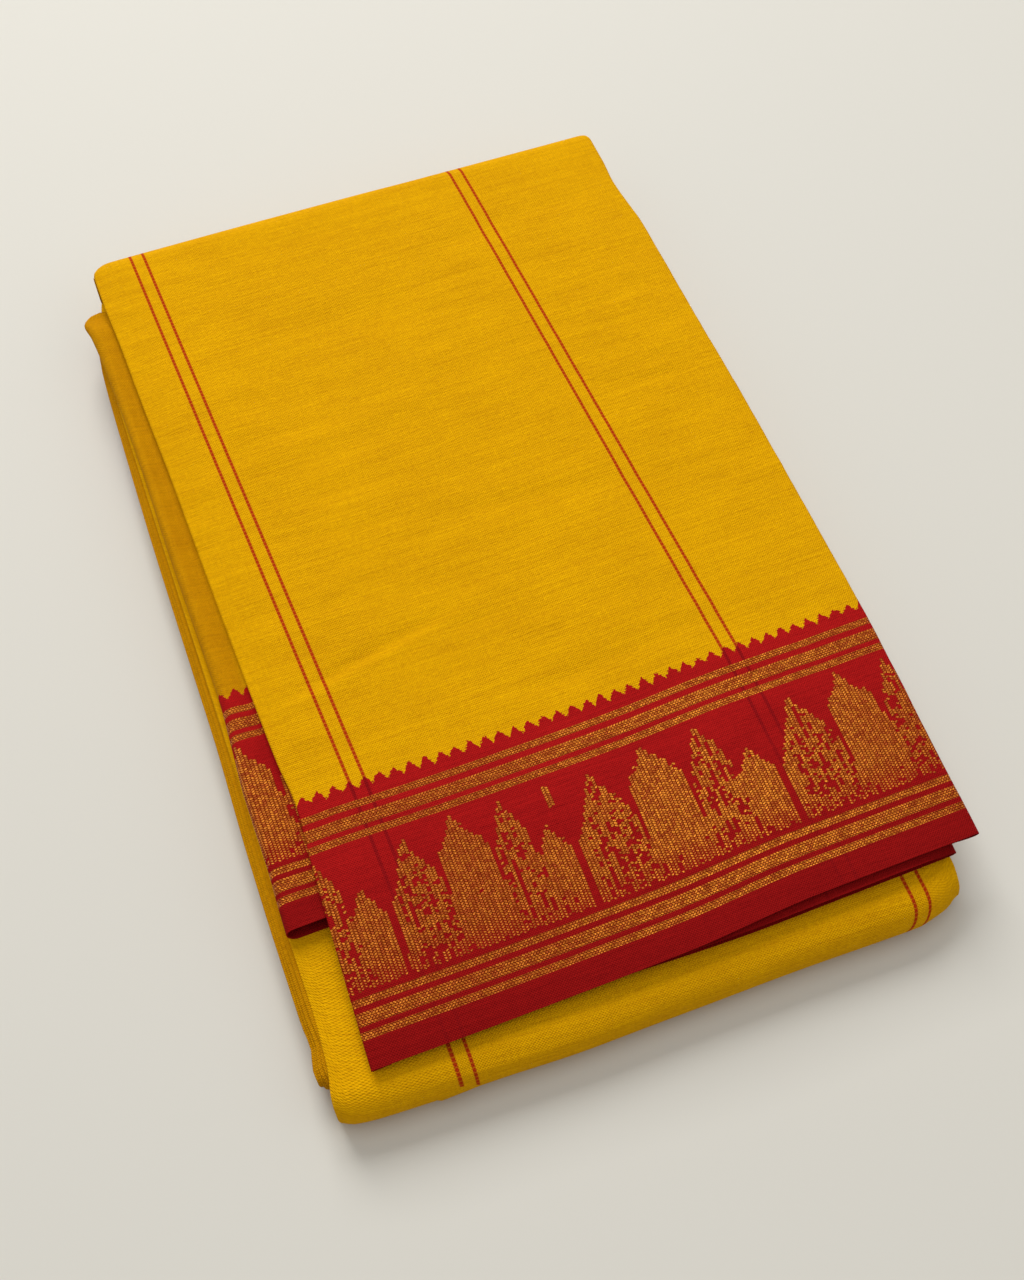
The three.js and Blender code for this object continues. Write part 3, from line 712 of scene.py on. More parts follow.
@dataclass
class LowerPanel:
    """The outer panel of the lower two thirds: underside, front fold and the run back over it."""

    curls: Pair = (1.0, 1.0)
    flaps: Pair = (8.0, 8.0)
    columns: int = 130
    border_rows: int = 22
    # Stretches of its length, each with its number of rows, from the border to past the fold
    field_rows: tuple[tuple[float, float, int], ...] = (
        (BORDER_DEPTH, 376.0, 30), (378.0, 434.0, 60), (437.0, 506.0, 50), (510.0, 804.0, 60),
    )
    bottom_back: float = 389.0
    front_at: float = -5.0  # the sides' tables are read here for the front fold
    # Where the red lines of the flat cloth lie across the front fold, and how far they lean there
    stripes: Rows = (
        (-150, -127.5), (-96.2, -97.8), (-90.2, -91.7), (92.2, 64.4), (98.6, 70.5), (130, 98.0),
    )
    lean: float = 6.2
    flare: float = 1.7  # how far the right end of the fold stands out in the middle of its height
    flare_turn: Pair = (1.15, 0.5)  # angle round the fold, and half width
    tuck: float = 0.55  # how far it is tucked in above that, as a share of the flare
    tuck_turn: Pair = (1.9, 2.8)
    tuck_reach: float = 6.0
    flare_share: Pair = (0.93, 1.0)  # over this share of its width
    relief_turn: Pair = (0.25, 0.9)  # angles between which the fold's creases rise
    ripple_turn: Pair = (0.2, 0.8)  # and its ripples
    fold_end: Pair = (2.4, 3.14)  # angles between which its relief fades
    upper_turn: Pair = (2.6, 3.14)  # and between which that of the upper run rises
    lean_share: Pair = (0.3, 1.0)  # shares of its width between which the red lines lean
    lean_turn: Pair = (2.7, 0.6)  # and angles round the fold
    tallest: float = 0.3  # no crease on the upper run stands up further
    creases: tuple[Crease, ...] = (
        Crease((-40, 6), (95, 5), 6.0, -0.5),
        Crease((-134, 52), (-128, -4), 9.0, 0.6),
        Crease((-139, 44), (-135, 6), 4.0, -0.5),
        Crease((-120, 10), (-60, 4), 6.0, -0.4),
        Crease((-160, 34), (-70, 31), 26.0, -1.0),
    )
    fold_creases: tuple[Crease, ...] = (
        Crease((-125, 10), (-20, 12), 3.2, -0.55),
        Crease((-60, 22), (60, 19), 4.0, -0.45),
        Crease((30, 9), (108, 13), 3.0, -0.5),
        Crease((-110, 27), (-30, 25), 4.5, 0.35),
    )
    ripples: Ripples = Ripples(0.08, 13.0, 41)

    def bulge(self, x: Array, turn: Array, over: Array) -> Array:
        """Relief of the front fold, which fades towards its lower and upper ends.

        Args:
            x: Places across the panel.
            turn: Angles round the fold.
            over: Distances past its upper end.

        Returns:
            How far the face stands out at each place.
        """
        arc = FRONT_TURN * turn
        creased = sum(crease.relief(x, arc) for crease in self.fold_creases)
        total = creased * smooth(*self.relief_turn, turn)
        total = total + self.ripples.relief(x, arc + over) * smooth(*self.ripple_turn, turn)
        return total * (1 - smooth(*self.fold_end, turn))

    def surface(self, run: Array) -> Shell:
        """The panel over a stretch of cloth.

        The underside is flat on the floor. At the front it turns on a half circle,
        y = front + r - r sin a, z = r - r cos a, and then it runs back level.

        Args:
            run: Distances along the cloth from the bottom selvedge at the back.

        Returns:
            The shell of cloth.
        """
        section = Section.folded(self.curls, self.flaps, self.columns)
        share = section.share
        ends = section.across(LOWER_LEFT, LOWER_RIGHT, np.full_like(share, self.front_at))
        axis = curve(LOWER_FRONT, ends) + FRONT_TURN
        past = run[:, None] - (self.bottom_back - axis)
        turn = np.clip(past / FRONT_TURN, 0, np.pi)
        over = np.maximum(past - np.pi * FRONT_TURN, 0)
        radius = FRONT_TURN - section.inward
        y = axis + np.maximum(-past, 0) - radius * np.sin(turn) + over
        middle, width = self.flare_turn
        out = np.exp(-(((turn - middle) / width) ** 2))
        out = out - self.tuck * smooth(*self.tuck_turn, turn) * (over < self.tuck_reach)
        x = section.across(LOWER_LEFT, LOWER_RIGHT, y)
        x = x + self.flare * out * smooth(*self.flare_share, share)
        bulge = self.bulge(x, turn, over)
        y = y - bulge * np.sin(turn)
        top = total_relief(self.creases, self.ripples, x, y)
        z = FRONT_TURN - radius * np.cos(turn) - bulge * np.cos(turn)
        z = z + np.minimum(top, self.tallest) * smooth(*self.upper_turn, turn)
        leaning = smooth(*self.lean_share, share) * smooth(*self.lean_turn, turn)
        along = curve(self.stripes, x + self.lean * leaning)
        return Shell(stacked(x, y, z), stacked(along, run[:, None]))

    def field(self) -> Shell:
        """The yellow stretch, whose rows lie closest round the front fold."""
        return self.surface(np.concatenate([np.linspace(*rows) for rows in self.field_rows]))

    def border(self) -> Shell:
        """The red stretch on the underside, at the back."""
        return self.surface(np.linspace(0, BORDER_DEPTH, self.border_rows))


@dataclass(frozen=True)
class Leaf:
    """One inner panel, nested inside the front fold or the back fold.

    Attributes:
        depth: How far its outer face lies inside the outermost panel.
        left: How far its left side lies beyond the guide line, to the left.
        right: How far its right side lies beyond the guide line, to the right.
        start: Where its lower leg ends.
        end: Where its upper leg ends.
        along: Its place along the saree.
    """

    depth: float
    left: float
    right: float
    start: float
    end: float
    along: float


@dataclass
class InnerLeaves:
    """The inner panels, whose pressed sides show as layers on the left, right and back."""

    thickness: float = 0.42
    curl: float = 0.72
    flap: float = 22.0
    columns: int = 8
    leg_points: tuple[int, int] = (46, 6)  # of a long leg, and of a back leaf's short one
    turn_steps: int = 21
    crowding: float = 1.3  # power that draws the front leaves' rows together at the fold
    front_axis: float = -6.5
    front_pull: float = 15.5  # how far their front folds are drawn back at the left
    pull_share: float = 0.09  # over this share of their width
    pull_over: Pair = (70.0, -8.0)
    right_pull: float = 2.2  # and at the right
    right_pull_share: Pair = (0.93, 1.0)
    right_pull_over: Pair = (40.0, -8.0)
    back_hollow: float = 11.5  # how far the back folds are drawn in at the left
    hollow_over: Pair = (372.0, 379.0)
    upper_inset: Pair = (31.0, 27.0)  # of the back leaves' upper legs, left and right
    inset_turn: Pair = (2.2, 3.0)  # angles round the fold between which they draw in
    settle_turn: Pair = (2.6, 3.1)  # and between which they sink with the top panel
    back_run: float = 400.0  # length of cloth before a back leaf, past both borders
    # The places along the saree of these and the back leaves also put their left sides where the
    # mustard takes the roll's painted shade
    front_leaves: tuple[Leaf, ...] = (
        Leaf(2.5, 0.3, -0.6, 387.5, 371.0, -20),
        Leaf(4.2, 2.0, 0.8, 386.0, 372.0, -61),
        Leaf(5.9, 3.0, -0.8, 388.0, 371.5, -40),
        Leaf(7.6, 4.2, 1.2, 385.5, 372.5, -95),
        Leaf(9.3, 3.6, 0.2, 387.0, 372.0, -88),
    )
    back_leaves: tuple[Leaf, ...] = (
        Leaf(2.4, -10.0, -18.0, 379.0, 9.0, -14),
        Leaf(4.2, -2.0, -6.0, 378.5, 21.0, -70),
        Leaf(6.0, -3.4, -4.6, 379.5, 40.0, -62),
        Leaf(7.8, -1.6, -5.4, 378.5, 30.0, -120),
    )
    guide_left: Rows = (
        (-10, -134.9), (-2, -137.0), (3, -139.3), (7, -141.0), (11, -141.3), (20, -139.6),
        (30, -140.2), (57, -140.2), (100, -139.7), (130, -138.7), (153, -138.0), (193, -137.7),
        (245, -137.2), (301, -136.0), (345, -134.6), (362, -133.0), (375, -129.5), (390, -125.0),
    )
    guide_right: Rows = (
        (-10, 108.0), (2, 112.0), (13, 115.0), (57, 117.0), (153, 119.0), (301, 120.8), (390, 121.4),
    )

    def front_leaf(self, leaf: Leaf) -> Shell:
        """A U round the front fold, with half circles of radius turn - depth.

        Args:
            leaf: The panel's sizes.

        Returns:
            The shell of cloth.
        """
        legs = np.linspace(0, 1, self.leg_points[0]) ** self.crowding
        upper = self.front_axis + (leaf.end - self.front_axis) * legs
        lower = leaf.start + (self.front_axis - leaf.start) * (1 - legs[::-1])
        y, bend = self.path(lower, upper)
        section, reach, place = self.laid(FRONT_TURN - leaf.depth, y, bend, -1.0)
        share = section.share
        drawn = self.front_pull * (1 - smooth(0, self.pull_share, share))
        at_right = self.right_pull * smooth(*self.right_pull_share, share)
        pulled = drawn * smooth(*self.pull_over, place)
        place = place + pulled + at_right * smooth(*self.right_pull_over, place)
        left = curve(self.guide_left, place) - leaf.left
        right = curve(self.guide_right, place) + leaf.right
        x = section.between(left, right)
        z = FRONT_TURN - reach * np.cos(bend)
        length = self.run(FRONT_TURN - leaf.depth, y, bend)
        return Shell(stacked(x, place, z), stacked(x + leaf.along, length), self.thickness)

    def back_leaf(self, leaf: Leaf) -> Shell:
        """A U round the back fold, from its short lower leg to the long upper one.

        Args:
            leaf: The panel's sizes.

        Returns:
            The shell of cloth.
        """
        long, short = self.leg_points
        lower = leaf.start + (BACK_TURN_Y - leaf.start) * np.linspace(0, 1, short)
        upper = BACK_TURN_Y + (leaf.end - BACK_TURN_Y) * np.linspace(0, 1, long)
        y, bend = self.path(lower, upper)
        section, reach, place = self.laid(BACK_TURN - leaf.depth, y, bend, 1.0)
        above = smooth(*self.inset_turn, bend)
        hollow = self.back_hollow * smooth(*self.hollow_over, place) * (1 - above)
        left = curve(self.guide_left, place) - leaf.left + hollow + self.upper_inset[0] * above
        right = curve(self.guide_right, place) + leaf.right - self.upper_inset[1] * above
        x = section.between(left, right)
        z = BACK_TURN_Z - reach * np.cos(bend)
        z = z - (STACK_TOP - top_height(x, place)) * smooth(*self.settle_turn, bend)
        length = self.run(BACK_TURN - leaf.depth, y, bend) + self.back_run
        return Shell(stacked(x, place, z), stacked(x + leaf.along, length), self.thickness)

    def path(self, lower: Array, upper: Array) -> tuple[Array, Array]:
        """A lower leg, a half circle about the place where the upper leg starts, and that leg.

        Args:
            lower: Places along the lower leg.
            upper: Places along the upper leg.

        Returns:
            Each row's place on its leg or of the fold's axis, and its angle round the fold.
        """
        turn = np.linspace(0, np.pi, self.turn_steps + 1)[1:-1]
        y = np.concatenate([lower, np.full(len(turn), upper[0]), upper])
        bend = np.concatenate([np.zeros(len(lower)), turn, np.full(len(upper), np.pi)])
        return y[:, None], bend[:, None]

    def laid(
        self, radius: float, y: Array, bend: Array, side: float
    ) -> tuple[Section, Array, Array]:
        """A folded section carried round a fold: y = axis + side r sin a.

        Args:
            radius: Radius of the panel's outer face.
            y: Place of the fold's axis, or of the leg, at each row.
            bend: Angle round the fold at each row.
            side: -1 for the front fold and 1 for the back fold.

        Returns:
            The section, its distance from the fold's axis and its places along Y.
        """
        section = Section.folded((self.curl,) * 2, (self.flap,) * 2, self.columns)
        reach = radius - section.inward
        return section, reach, y + side * reach * np.sin(bend)

    def run(self, radius: float, y: Array, bend: Array) -> Array:
        """Length of cloth at each row, added up along the legs and round the fold."""
        step = np.abs(np.diff(y[:, 0])) + radius * np.diff(bend[:, 0])
        return np.concatenate([[0], np.cumsum(step)])[:, None]

    def shells(self) -> list[Shell]:
        """All the inner panels."""
        front = [self.front_leaf(leaf) for leaf in self.front_leaves]
        return front + [self.back_leaf(leaf) for leaf in self.back_leaves]


def linear(hex_colour: str) -> tuple[float, float, float, float]:
    """Turns an sRGB hex colour into linear red, green, blue and alpha.

    Args:
        hex_colour: Six hex digits.

    Returns:
        The linear colour.
    """
    values = (int(hex_colour[i : i + 2], 16) / 255 for i in (0, 2, 4))
    red, green, blue = (v / 12.92 if v <= 0.04045 else ((v + 0.055) / 1.055) ** 2.4 for v in values)
    return red, green, blue, 1.0


def put(
    tree: Tree, kind: str, *values: Any, out: int = 0, named: dict[int | str, Any] | None = None,
    **settings: Any,
) -> Socket | None:
    """Adds a node, sets it up and links it.

    Args:
        tree: The node tree.
        kind: The node's type, without the ShaderNode that all of them start with, or in capitals
            the operation of a Math node.
        *values: A socket to link, or a value to set, for each of the first inputs.
        out: Which output to return.
        named: The same for other inputs, by number or name.
        **settings: The node's own properties.

    Returns:
        The chosen output, or nothing for a node without outputs.
    """
    if kind.isupper():
        kind, settings = "Math", {"operation": kind, **settings}
    node = tree.nodes.new("ShaderNode" + kind)
    for name, value in settings.items():
        setattr(node, name, value)
    for key, value in [*enumerate(values), *(named or {}).items()]:
        if isinstance(value, bpy.types.NodeSocket):
            tree.links.new(value, node.inputs[key])
        else:
            node.inputs[key].default_value = value
    return node.outputs[out] if node.outputs else None


# Skyline of one repeat of the woven spires: share of the repeat, and height above the selvedge in
# millimetres. From the left: a tall open spire, a tall full one, a narrower open one and a small one.
SKYLINE: Rows = (
    (0.000, 20.0), (0.014, 20.0), (0.016, 53.9), (0.068, 60.3), (0.105, 66.5), (0.140, 73.0),
    (0.173, 79.6), (0.210, 72.5), (0.250, 68.0), (0.285, 62.5), (0.318, 56.0), (0.325, 44.0),
    (0.332, 44.0), (0.335, 68.6), (0.378, 72.6), (0.418, 76.8), (0.449, 82.0), (0.496, 75.8),
    (0.545, 71.0), (0.586, 67.4), (0.592, 46.0), (0.604, 46.0), (0.607, 58.0), (0.628, 64.5),
    (0.652, 70.0), (0.683, 75.6), (0.711, 81.0), (0.745, 74.8), (0.777, 70.4), (0.797, 64.0),
    (0.803, 56.0), (0.817, 55.0), (0.850, 58.8), (0.891, 65.0), (0.925, 60.0), (0.977, 54.2),
    (0.984, 20.0), (1.000, 20.0),
)
# Shares of a repeat where the spires are open lattice, 1, or full, 0.
LATTICE: Rows = (
    (0.000, 0.0), (0.035, 0.1), (0.070, 1.0), (0.318, 1.0), (0.334, 0.0), (0.590, 0.0), (0.606, 1.0),
    (0.800, 1.0), (0.820, 0.3), (1.000, 0.15),
)
SKYLINE_TOP = 90.0
# Bands of gold thread: lower and upper edge above the selvedge.
GOLD_BANDS: Rows = (
    (10.8, 13.55), (15.6, 20.6), (22.9, 25.6), (83.6, 86.75), (88.7, 93.8), (96.4, 99.2),
)


@dataclass(frozen=True)
class SareeCloth:
    """Handloom cotton with its border: mustard plain weave, and red with gold zari floats.

    Dyed cotton gives a soft matt face with slubs. The zari is flat gilt thread on a silk core, which
    floats in short stitches over the red ground and glints.
    """

    name: str = "handloom_cotton_zari"
    mustard: str = "ECB003"
    mustard_deep: str = "C88B04"
    roll_painted_shade: str = "E3D7FF"  # painted shade: multiplies the mustard past the top panel's left edge, on the left roll and the inner leaves
    # Places along the saree over which that painted shade fades in
    roll_painted_shade_over: Pair = (-128.5, -132.5)
    line_red: str = "B0330E"
    red: str = "B61A19"
    red_deep: str = "971113"
    red_crossing: str = "5A0812"  # where the red lines of the field cross the red border
    crossing_over: Pair = (45.0, 90.0)  # the crossings show more from one depth to the other
    crossing_shown: Pair = (0.16, 0.5)
    gold: str = "A23C04"
    # The stitches' colour runs from gold to gold_light, partly their own tone and partly painted glint
    gold_light: str = "FF9E2C"
    gold_shade: str = "6C1803"
    painted_glint_every: float = 230.0  # painted highlight: how far apart the stretches are where the gilt is painted brightest
    painted_glint_from: float = -15.0
    painted_glint_least: float = 0.55
    glint_chance: Pair = (0.8, 0.1)  # partly painted glint, partly the stitches' own uneven tone: how much a stitch's brightness varies, and its least
    front_painted_shade: float = 0.66  # painted shade: the red is darkened to this share at the front selvedge, fading out over the next range
    front_painted_shade_over: Pair = (0.0, 100.0)
    repeat: float = 81.9  # length of one repeat of the spires
    first_gap: float = -101.6  # where a repeat starts on the top panel
    uneven: float = 0.0497  # how far the hand-beaten repeats drift, as a share of a repeat
    uneven_every: float = 3.0  # repeats until the drift comes round again
    spires_base: float = 28.2
    band_stitch: Pair = (1.3, 0.95)  # length of a band's stitches, and pitch of rows
    band_shift: float = 0.36  # how far each row is shifted, as a share of a stitch
    spire_stitch: Pair = (1.05, 1.42)  # the spires' stitches stand in columns
    spire_shift: float = 0.5
    slant: float = 0.42  # how far the stitches lean, to the left and right by turns
    stitch_shape: Pair = (2.15, 1.9)  # above 2 a stitch is shorter or thinner than its cell
    stitch_edge: Pair = (1.16, 0.32)  # a stitch's gold fades in from its outline to its middle
    foot: Pair = (29.0, 40.0)  # towards the spires' foot their stitches are smaller and less packed
    foot_spread: Pair = (1.6, 1.0)
    foot_packed: Pair = (0.1, 0.8)
    band_packed: float = 0.85
    foot_full: Pair = (29.0, 41.0)  # the full spires are open too near their foot
    foot_open: float = 0.85
    hole_scale: Pair = (0.5, 0.11)  # of the open spires' holes, per millimetre along and up
    hole_detail: Pair = (2.0, 0.65)
    hole_limit: Pair = (0.26, 0.09)  # how much is left out of an open spire, and of a full one
    hole_specks: float = -0.2
    bar: float = 4.3  # spacing of the open spires' upright bars
    bar_weight: float = 0.055
    ragged: float = 2.3  # how uneven the spires' edges are
    ragged_out: float = 0.35  # share of it that stands past the skyline
    rim: float = 2.8  # an open spire is full this far under its outline
    # A stray bit of a spire that the weaver beat in by mistake: middle and half size, each way
    stray: tuple[Pair, Pair] = ((-27.4, 75.0), (1.7, 4.6))
    tooth: float = 6.3
    tooth_base: float = 103.9
    tooth_rise: float = 4.4
    tooth_round: float = 0.85  # below 1 the teeth are full and the gaps between them narrow
    tooth_sway: Pair = (0.2, 4.4)  # how the teeth's base wanders: scale per millimetre, and depth
    pick: float = 0.5  # rows of weft at the teeth, drawn coarser than the real 0.3 mm
    pick_shift: float = 0.95
    line_gap: float = 162.2  # from one pair of red lines to the next
    line_first: float = -97.5
    line_pair: float = 6.1
    line_width: float = 1.35
    line_edge: Pair = (0.65, 0.35)  # shares of its width between which a line's colour fades in
    line_lean: float = 0.016  # how much the lines lean in the border
    dash: float = 1.9
    dash_edge: Pair = (0.06, 0.2)
    dash_gap: float = 0.72  # how strong a line still is between its dashes
    thread: float = 1.15  # drawn coarser than the real 0.4 mm, which is too fine to show
    # Streaks of uneven yarn: scale along the saree and across it per millimetre, and weight
    slubs: tuple[tuple[float, float, float], ...] = (
        (0.016, 0.62, 0.42), (0.09, 1.3, 0.40), (0.30, 1.9, 0.50), (1.5, 0.11, 0.30),
        (0.03, 0.05, 0.26), (0.85, 1.1, 0.46),
    )
    slub_detail: Pair = (2.0, 0.6)
    slub_weight: float = 2.2
    slub_range: float = 0.6
    knots: Pair = (0.12, 0.9)  # scale of the slubs that stand up, along and across
    knot_detail: Pair = (4.0, 0.7)
    knot_height: float = 3.2
    float_height: float = 1.6  # how far the gold floats stand over the weave
    bump: Pair = (0.85, 0.00016)  # its strength, and its height in metres
    gilt_metal: float = 0.35
    roughness: Pair = (0.82, -0.4)  # of the cotton, and what the gilt adds
    specular: Pair = (0.03, 0.2)
    ior: float = 1.46

    def make(self) -> bpy.types.Material:
        """Builds the node material from the cloth map, in millimetres of flat cloth.

        Returns:
            The material.
        """
        material = bpy.data.materials.new(self.name)
        material.use_nodes = True
        tree = material.node_tree
        tree.nodes.clear()
        place = put(tree, "UVMap", uv_map=CLOTH_MAP)
        along, depth = (put(tree, "SeparateXYZ", place, out=axis) for axis in (0, 1))
        rows = self.stitches(tree, (along, depth), self.band_stitch, self.band_shift)
        columns = self.stitches(tree, (depth, along), self.spire_stitch, self.spire_shift)
        bands = self.band_mask(tree, depth)
        spires = self.spire_mask(tree, columns)
        ground = self.ground(tree, along, depth)
        gold = put(tree, "MAXIMUM", spires, bands)
        float_gold, thread = self.floats(tree, along, gold, bands, (rows, columns))
        packed = put(tree, "MapRange", columns["along"], *self.foot, *self.foot_packed)
        cover = put(tree, "Mix", bands, named={2: packed, 3: self.band_packed})
        under = put(tree, "Mix", cover, named={6: ground, 7: linear(self.gold_shade)}, **COLOURS)
        base = put(tree, "Mix", gold, named={6: ground, 7: under}, **COLOURS)
        colour = put(tree, "Mix", float_gold, named={6: base, 7: thread}, **COLOURS)
        weave = self.weave(tree, along, depth)
        raised = put(tree, "MULTIPLY_ADD", float_gold, self.float_height, weave)
        strength, height = self.bump
        relief = {"Height": raised, "Strength": strength, "Distance": height}
        inputs = {"Base Color": colour, "IOR": self.ior, "Normal": put(tree, "Bump", named=relief)}
        inputs["Metallic"] = put(tree, "MULTIPLY", float_gold, self.gilt_metal)
        finish = (("Roughness", self.roughness), ("Specular IOR Level", self.specular))
        for name, (cotton, gilt) in finish:
            inputs[name] = put(tree, "MULTIPLY_ADD", float_gold, gilt, cotton)
        put(tree, "OutputMaterial", put(tree, "BsdfPrincipled", named=inputs))
        return material

    def floats(
        self, tree: Tree, along: Socket, gold: Socket, bands: Socket,
        stitches: tuple[dict[str, Socket], dict[str, Socket]],
    ) -> tuple[Socket, Socket]:
        """The gold stitches, with a painted glint that brightens and dims slowly along the saree.

        Args:
            tree: The node tree.
            along: Place along the saree.
            gold: Where there are spires or bands.
            bands: Where there are bands.
            stitches: The stitches of the bands and of the spires.

        Returns:
            How much gold covers each point, and its colour.
        """
        rows, columns = stitches
        spread = put(tree, "MapRange", columns["along"], *self.foot, *self.foot_spread)
        dots = put(tree, "MULTIPLY", columns["far"], spread)
        far = put(tree, "Mix", bands, named={2: dots, 3: rows["far"]})
        # Painted highlight: the gold is painted brighter and duller in slow waves along the saree, as
        # if it caught the light
        once = 2 * math.pi / self.painted_glint_every
        swing = put(tree, "MULTIPLY_ADD", along, once, -once * self.painted_glint_from)
        wave = put(tree, "SINE", swing)
        painted_sparkle = put(tree, "MapRange", wave, -1.0, 1.0, self.painted_glint_least, 1.0)
        glint = put(tree, "Mix", bands, named={2: columns["bright"], 3: rows["bright"]})
        bright = put(tree, "MULTIPLY", glint, painted_sparkle)
        body = put(tree, "MapRange", far, *self.stitch_edge, 0.0, 1.0, interpolation_type="SMOOTHSTEP")
        colours = {6: linear(self.gold), 7: linear(self.gold_light)}
        covered = put(tree, "MULTIPLY", gold, body)
        return covered, put(tree, "Mix", bright, named=colours, **COLOURS)

    def stitches(
        self, tree: Tree, place: tuple[Socket, Socket], pitch: Pair, shift: float
    ) -> dict[str, Socket]:
        """Lines of short gold stitches, each line shifted along by a share of a stitch.

        Args:
            tree: The node tree.
            place: Place along the lines of stitches, and from line to line.
            pitch: Length of a stitch, and distance between lines, in millimetres.
            shift: How far each line is shifted, as a share of a stitch.

        Returns:
            How far each point is from the middle of its stitch, the stitch's brightness and its own
            chance, and the place of its middle along the line and from line to line.
        """
        length, gap = pitch
        line = put(tree, "MULTIPLY", place[1], 1 / gap)
        number = put(tree, "FLOOR", line)
        shifted = put(tree, "MULTIPLY_ADD", number, length * shift, place[0])
        step = put(tree, "MULTIPLY", shifted, 1 / length)
        step_number = put(tree, "FLOOR", step)
        fx, fy = (put(tree, "FRACT", cell) for cell in (step, line))
        dy = put(tree, "ADD", fy, -0.5)
        turn = put(tree, "PINGPONG", number, 1.0)
        lean = put(tree, "MULTIPLY_ADD", turn, 2 * self.slant, -self.slant)
        leaning = put(tree, "MULTIPLY_ADD", dy, lean, fx)
        dx = put(tree, "ADD", leaning, -0.5)
        offsets = zip((dx, dy), self.stitch_shape)
        wide, tall = (put(tree, "MULTIPLY", off, times) for off, times in offsets)
        wide_squared = put(tree, "MULTIPLY", wide, wide)
        far = put(tree, "MULTIPLY_ADD", tall, tall, wide_squared)
        cell = put(tree, "CombineXYZ", step_number, number)
        chance = put(tree, "TexWhiteNoise", cell, noise_dimensions="2D")
        glint = put(tree, "MULTIPLY_ADD", chance, *self.glint_chance)
        other = put(tree, "CombineXYZ", number, step_number, LUCK_LAYER)
        luck = put(tree, "TexWhiteNoise", other, noise_dimensions="3D")
        mid_line = put(tree, "MULTIPLY_ADD", number, gap, gap / 2)
        back = put(tree, "MULTIPLY_ADD", number, -length * shift, length / 2)
        mid_step = put(tree, "MULTIPLY_ADD", step_number, length, back)
        return {"far": far, "bright": glint, "luck": luck, "along": mid_step, "line": mid_line}

    def band_mask(self, tree: Tree, depth: Socket) -> Socket:
        """The plain bands of gold thread, which run the whole length of the saree.

        Args:
            tree: The node tree.
            depth: Place from the selvedge.

        Returns:
            The mask.
        """
        share = put(tree, "MULTIPLY", depth, 1 / BORDER_DEPTH)
        ramp = put(tree, "ValToRGB", share)
        stops = ramp.node.color_ramp
        stops.interpolation = "CONSTANT"
        for edges in GOLD_BANDS:
            for edge, on in zip(edges, (1.0, 0.0)):
                stop = stops.elements.new(edge / BORDER_DEPTH)
                stop.color = (on, on, on, 1.0)
        stops.elements[0].color = (0, 0, 0, 1)
        stops.elements[-1].color = (0, 0, 0, 1)
        return ramp

    def spire_mask(self, tree: Tree, columns: dict[str, Socket]) -> Socket:
        """The row of spires, stitch by stitch: under the skyline, less the holes of the open ones.

        Args:
            tree: The node tree.
            columns: The columns of stitches.

        Returns:
            The mask.
        """
        across, height, luck = columns["line"], columns["along"], columns["luck"]
        start = -self.first_gap / self.repeat
        from_gap = put(tree, "MULTIPLY_ADD", across, 1 / self.repeat, start)
        once = 2 * math.pi / self.uneven_every
        slow = put(tree, "MULTIPLY_ADD", from_gap, once, -once)
        wave = put(tree, "COSINE", slow)
        phase = put(tree, "MULTIPLY_ADD", wave, self.uneven, from_gap)
        repeat = put(tree, "FRACT", phase)
        skyline = self.charted(tree, repeat, SKYLINE, SKYLINE_TOP)
        jagged = put(tree, "MULTIPLY_ADD", luck, -self.ragged, skyline)
        tip = put(tree, "ADD", jagged, self.ragged * self.ragged_out)
        under = put(tree, "LESS_THAN", height, tip)
        over = put(tree, "GREATER_THAN", height, self.spires_base)
        spires = put(tree, "MULTIPLY", under, over)
        open_work = self.charted(tree, repeat, LATTICE, 1.0)
        holes = self.noise(tree, (across, height), self.hole_scale, self.hole_detail)
        beat = put(tree, "MULTIPLY", across, 2 * math.pi / self.bar)
        bars = put(tree, "SINE", beat)
        barred = put(tree, "MULTIPLY_ADD", bars, self.bar_weight, holes)
        specks = put(tree, "MULTIPLY_ADD", luck, self.hole_specks, barred)
        foot = put(tree, "MapRange", height, *self.foot_full, self.foot_open, 0.0)
        wanted = put(tree, "MAXIMUM", open_work, foot)
        limit = put(tree, "MULTIPLY_ADD", wanted, *self.hole_limit)
        filled = put(tree, "GREATER_THAN", specks, limit)
        raised = put(tree, "ADD", height, self.rim)
        edge = put(tree, "GREATER_THAN", raised, tip)
        solid = put(tree, "MAXIMUM", filled, edge)
        shown = put(tree, "MULTIPLY", spires, solid)
        at_stray = zip((across, height), *self.stray)
        beside, level = (put(tree, "COMPARE", *values) for values in at_stray)
        both = put(tree, "MULTIPLY", beside, level)
        stray = put(tree, "GREATER_THAN", both, luck)
        return put(tree, "MAXIMUM", shown, stray)

    def noise(
        self, tree: Tree, place: tuple[Socket, Socket], scale: Pair, detail: Pair, layer: float = 0.0
    ) -> Socket:
        """Noise that is drawn out along the threads.

        Args:
            tree: The node tree.
            place: Two places on the flat cloth.
            scale: Scale of each, per millimetre.
            detail: How many finer noises are added, and how strong they are.
            layer: Which of the unlike patterns of this noise to take.

        Returns:
            The noise.
        """
        scaled = [put(tree, "MULTIPLY", at, times) for at, times in zip(place, scale)]
        stretched = put(tree, "CombineXYZ", *scaled, layer)
        inputs = {"Vector": stretched, "Scale": 1.0, "Detail": detail[0], "Roughness": detail[1]}
        return put(tree, "TexNoise", named=inputs)

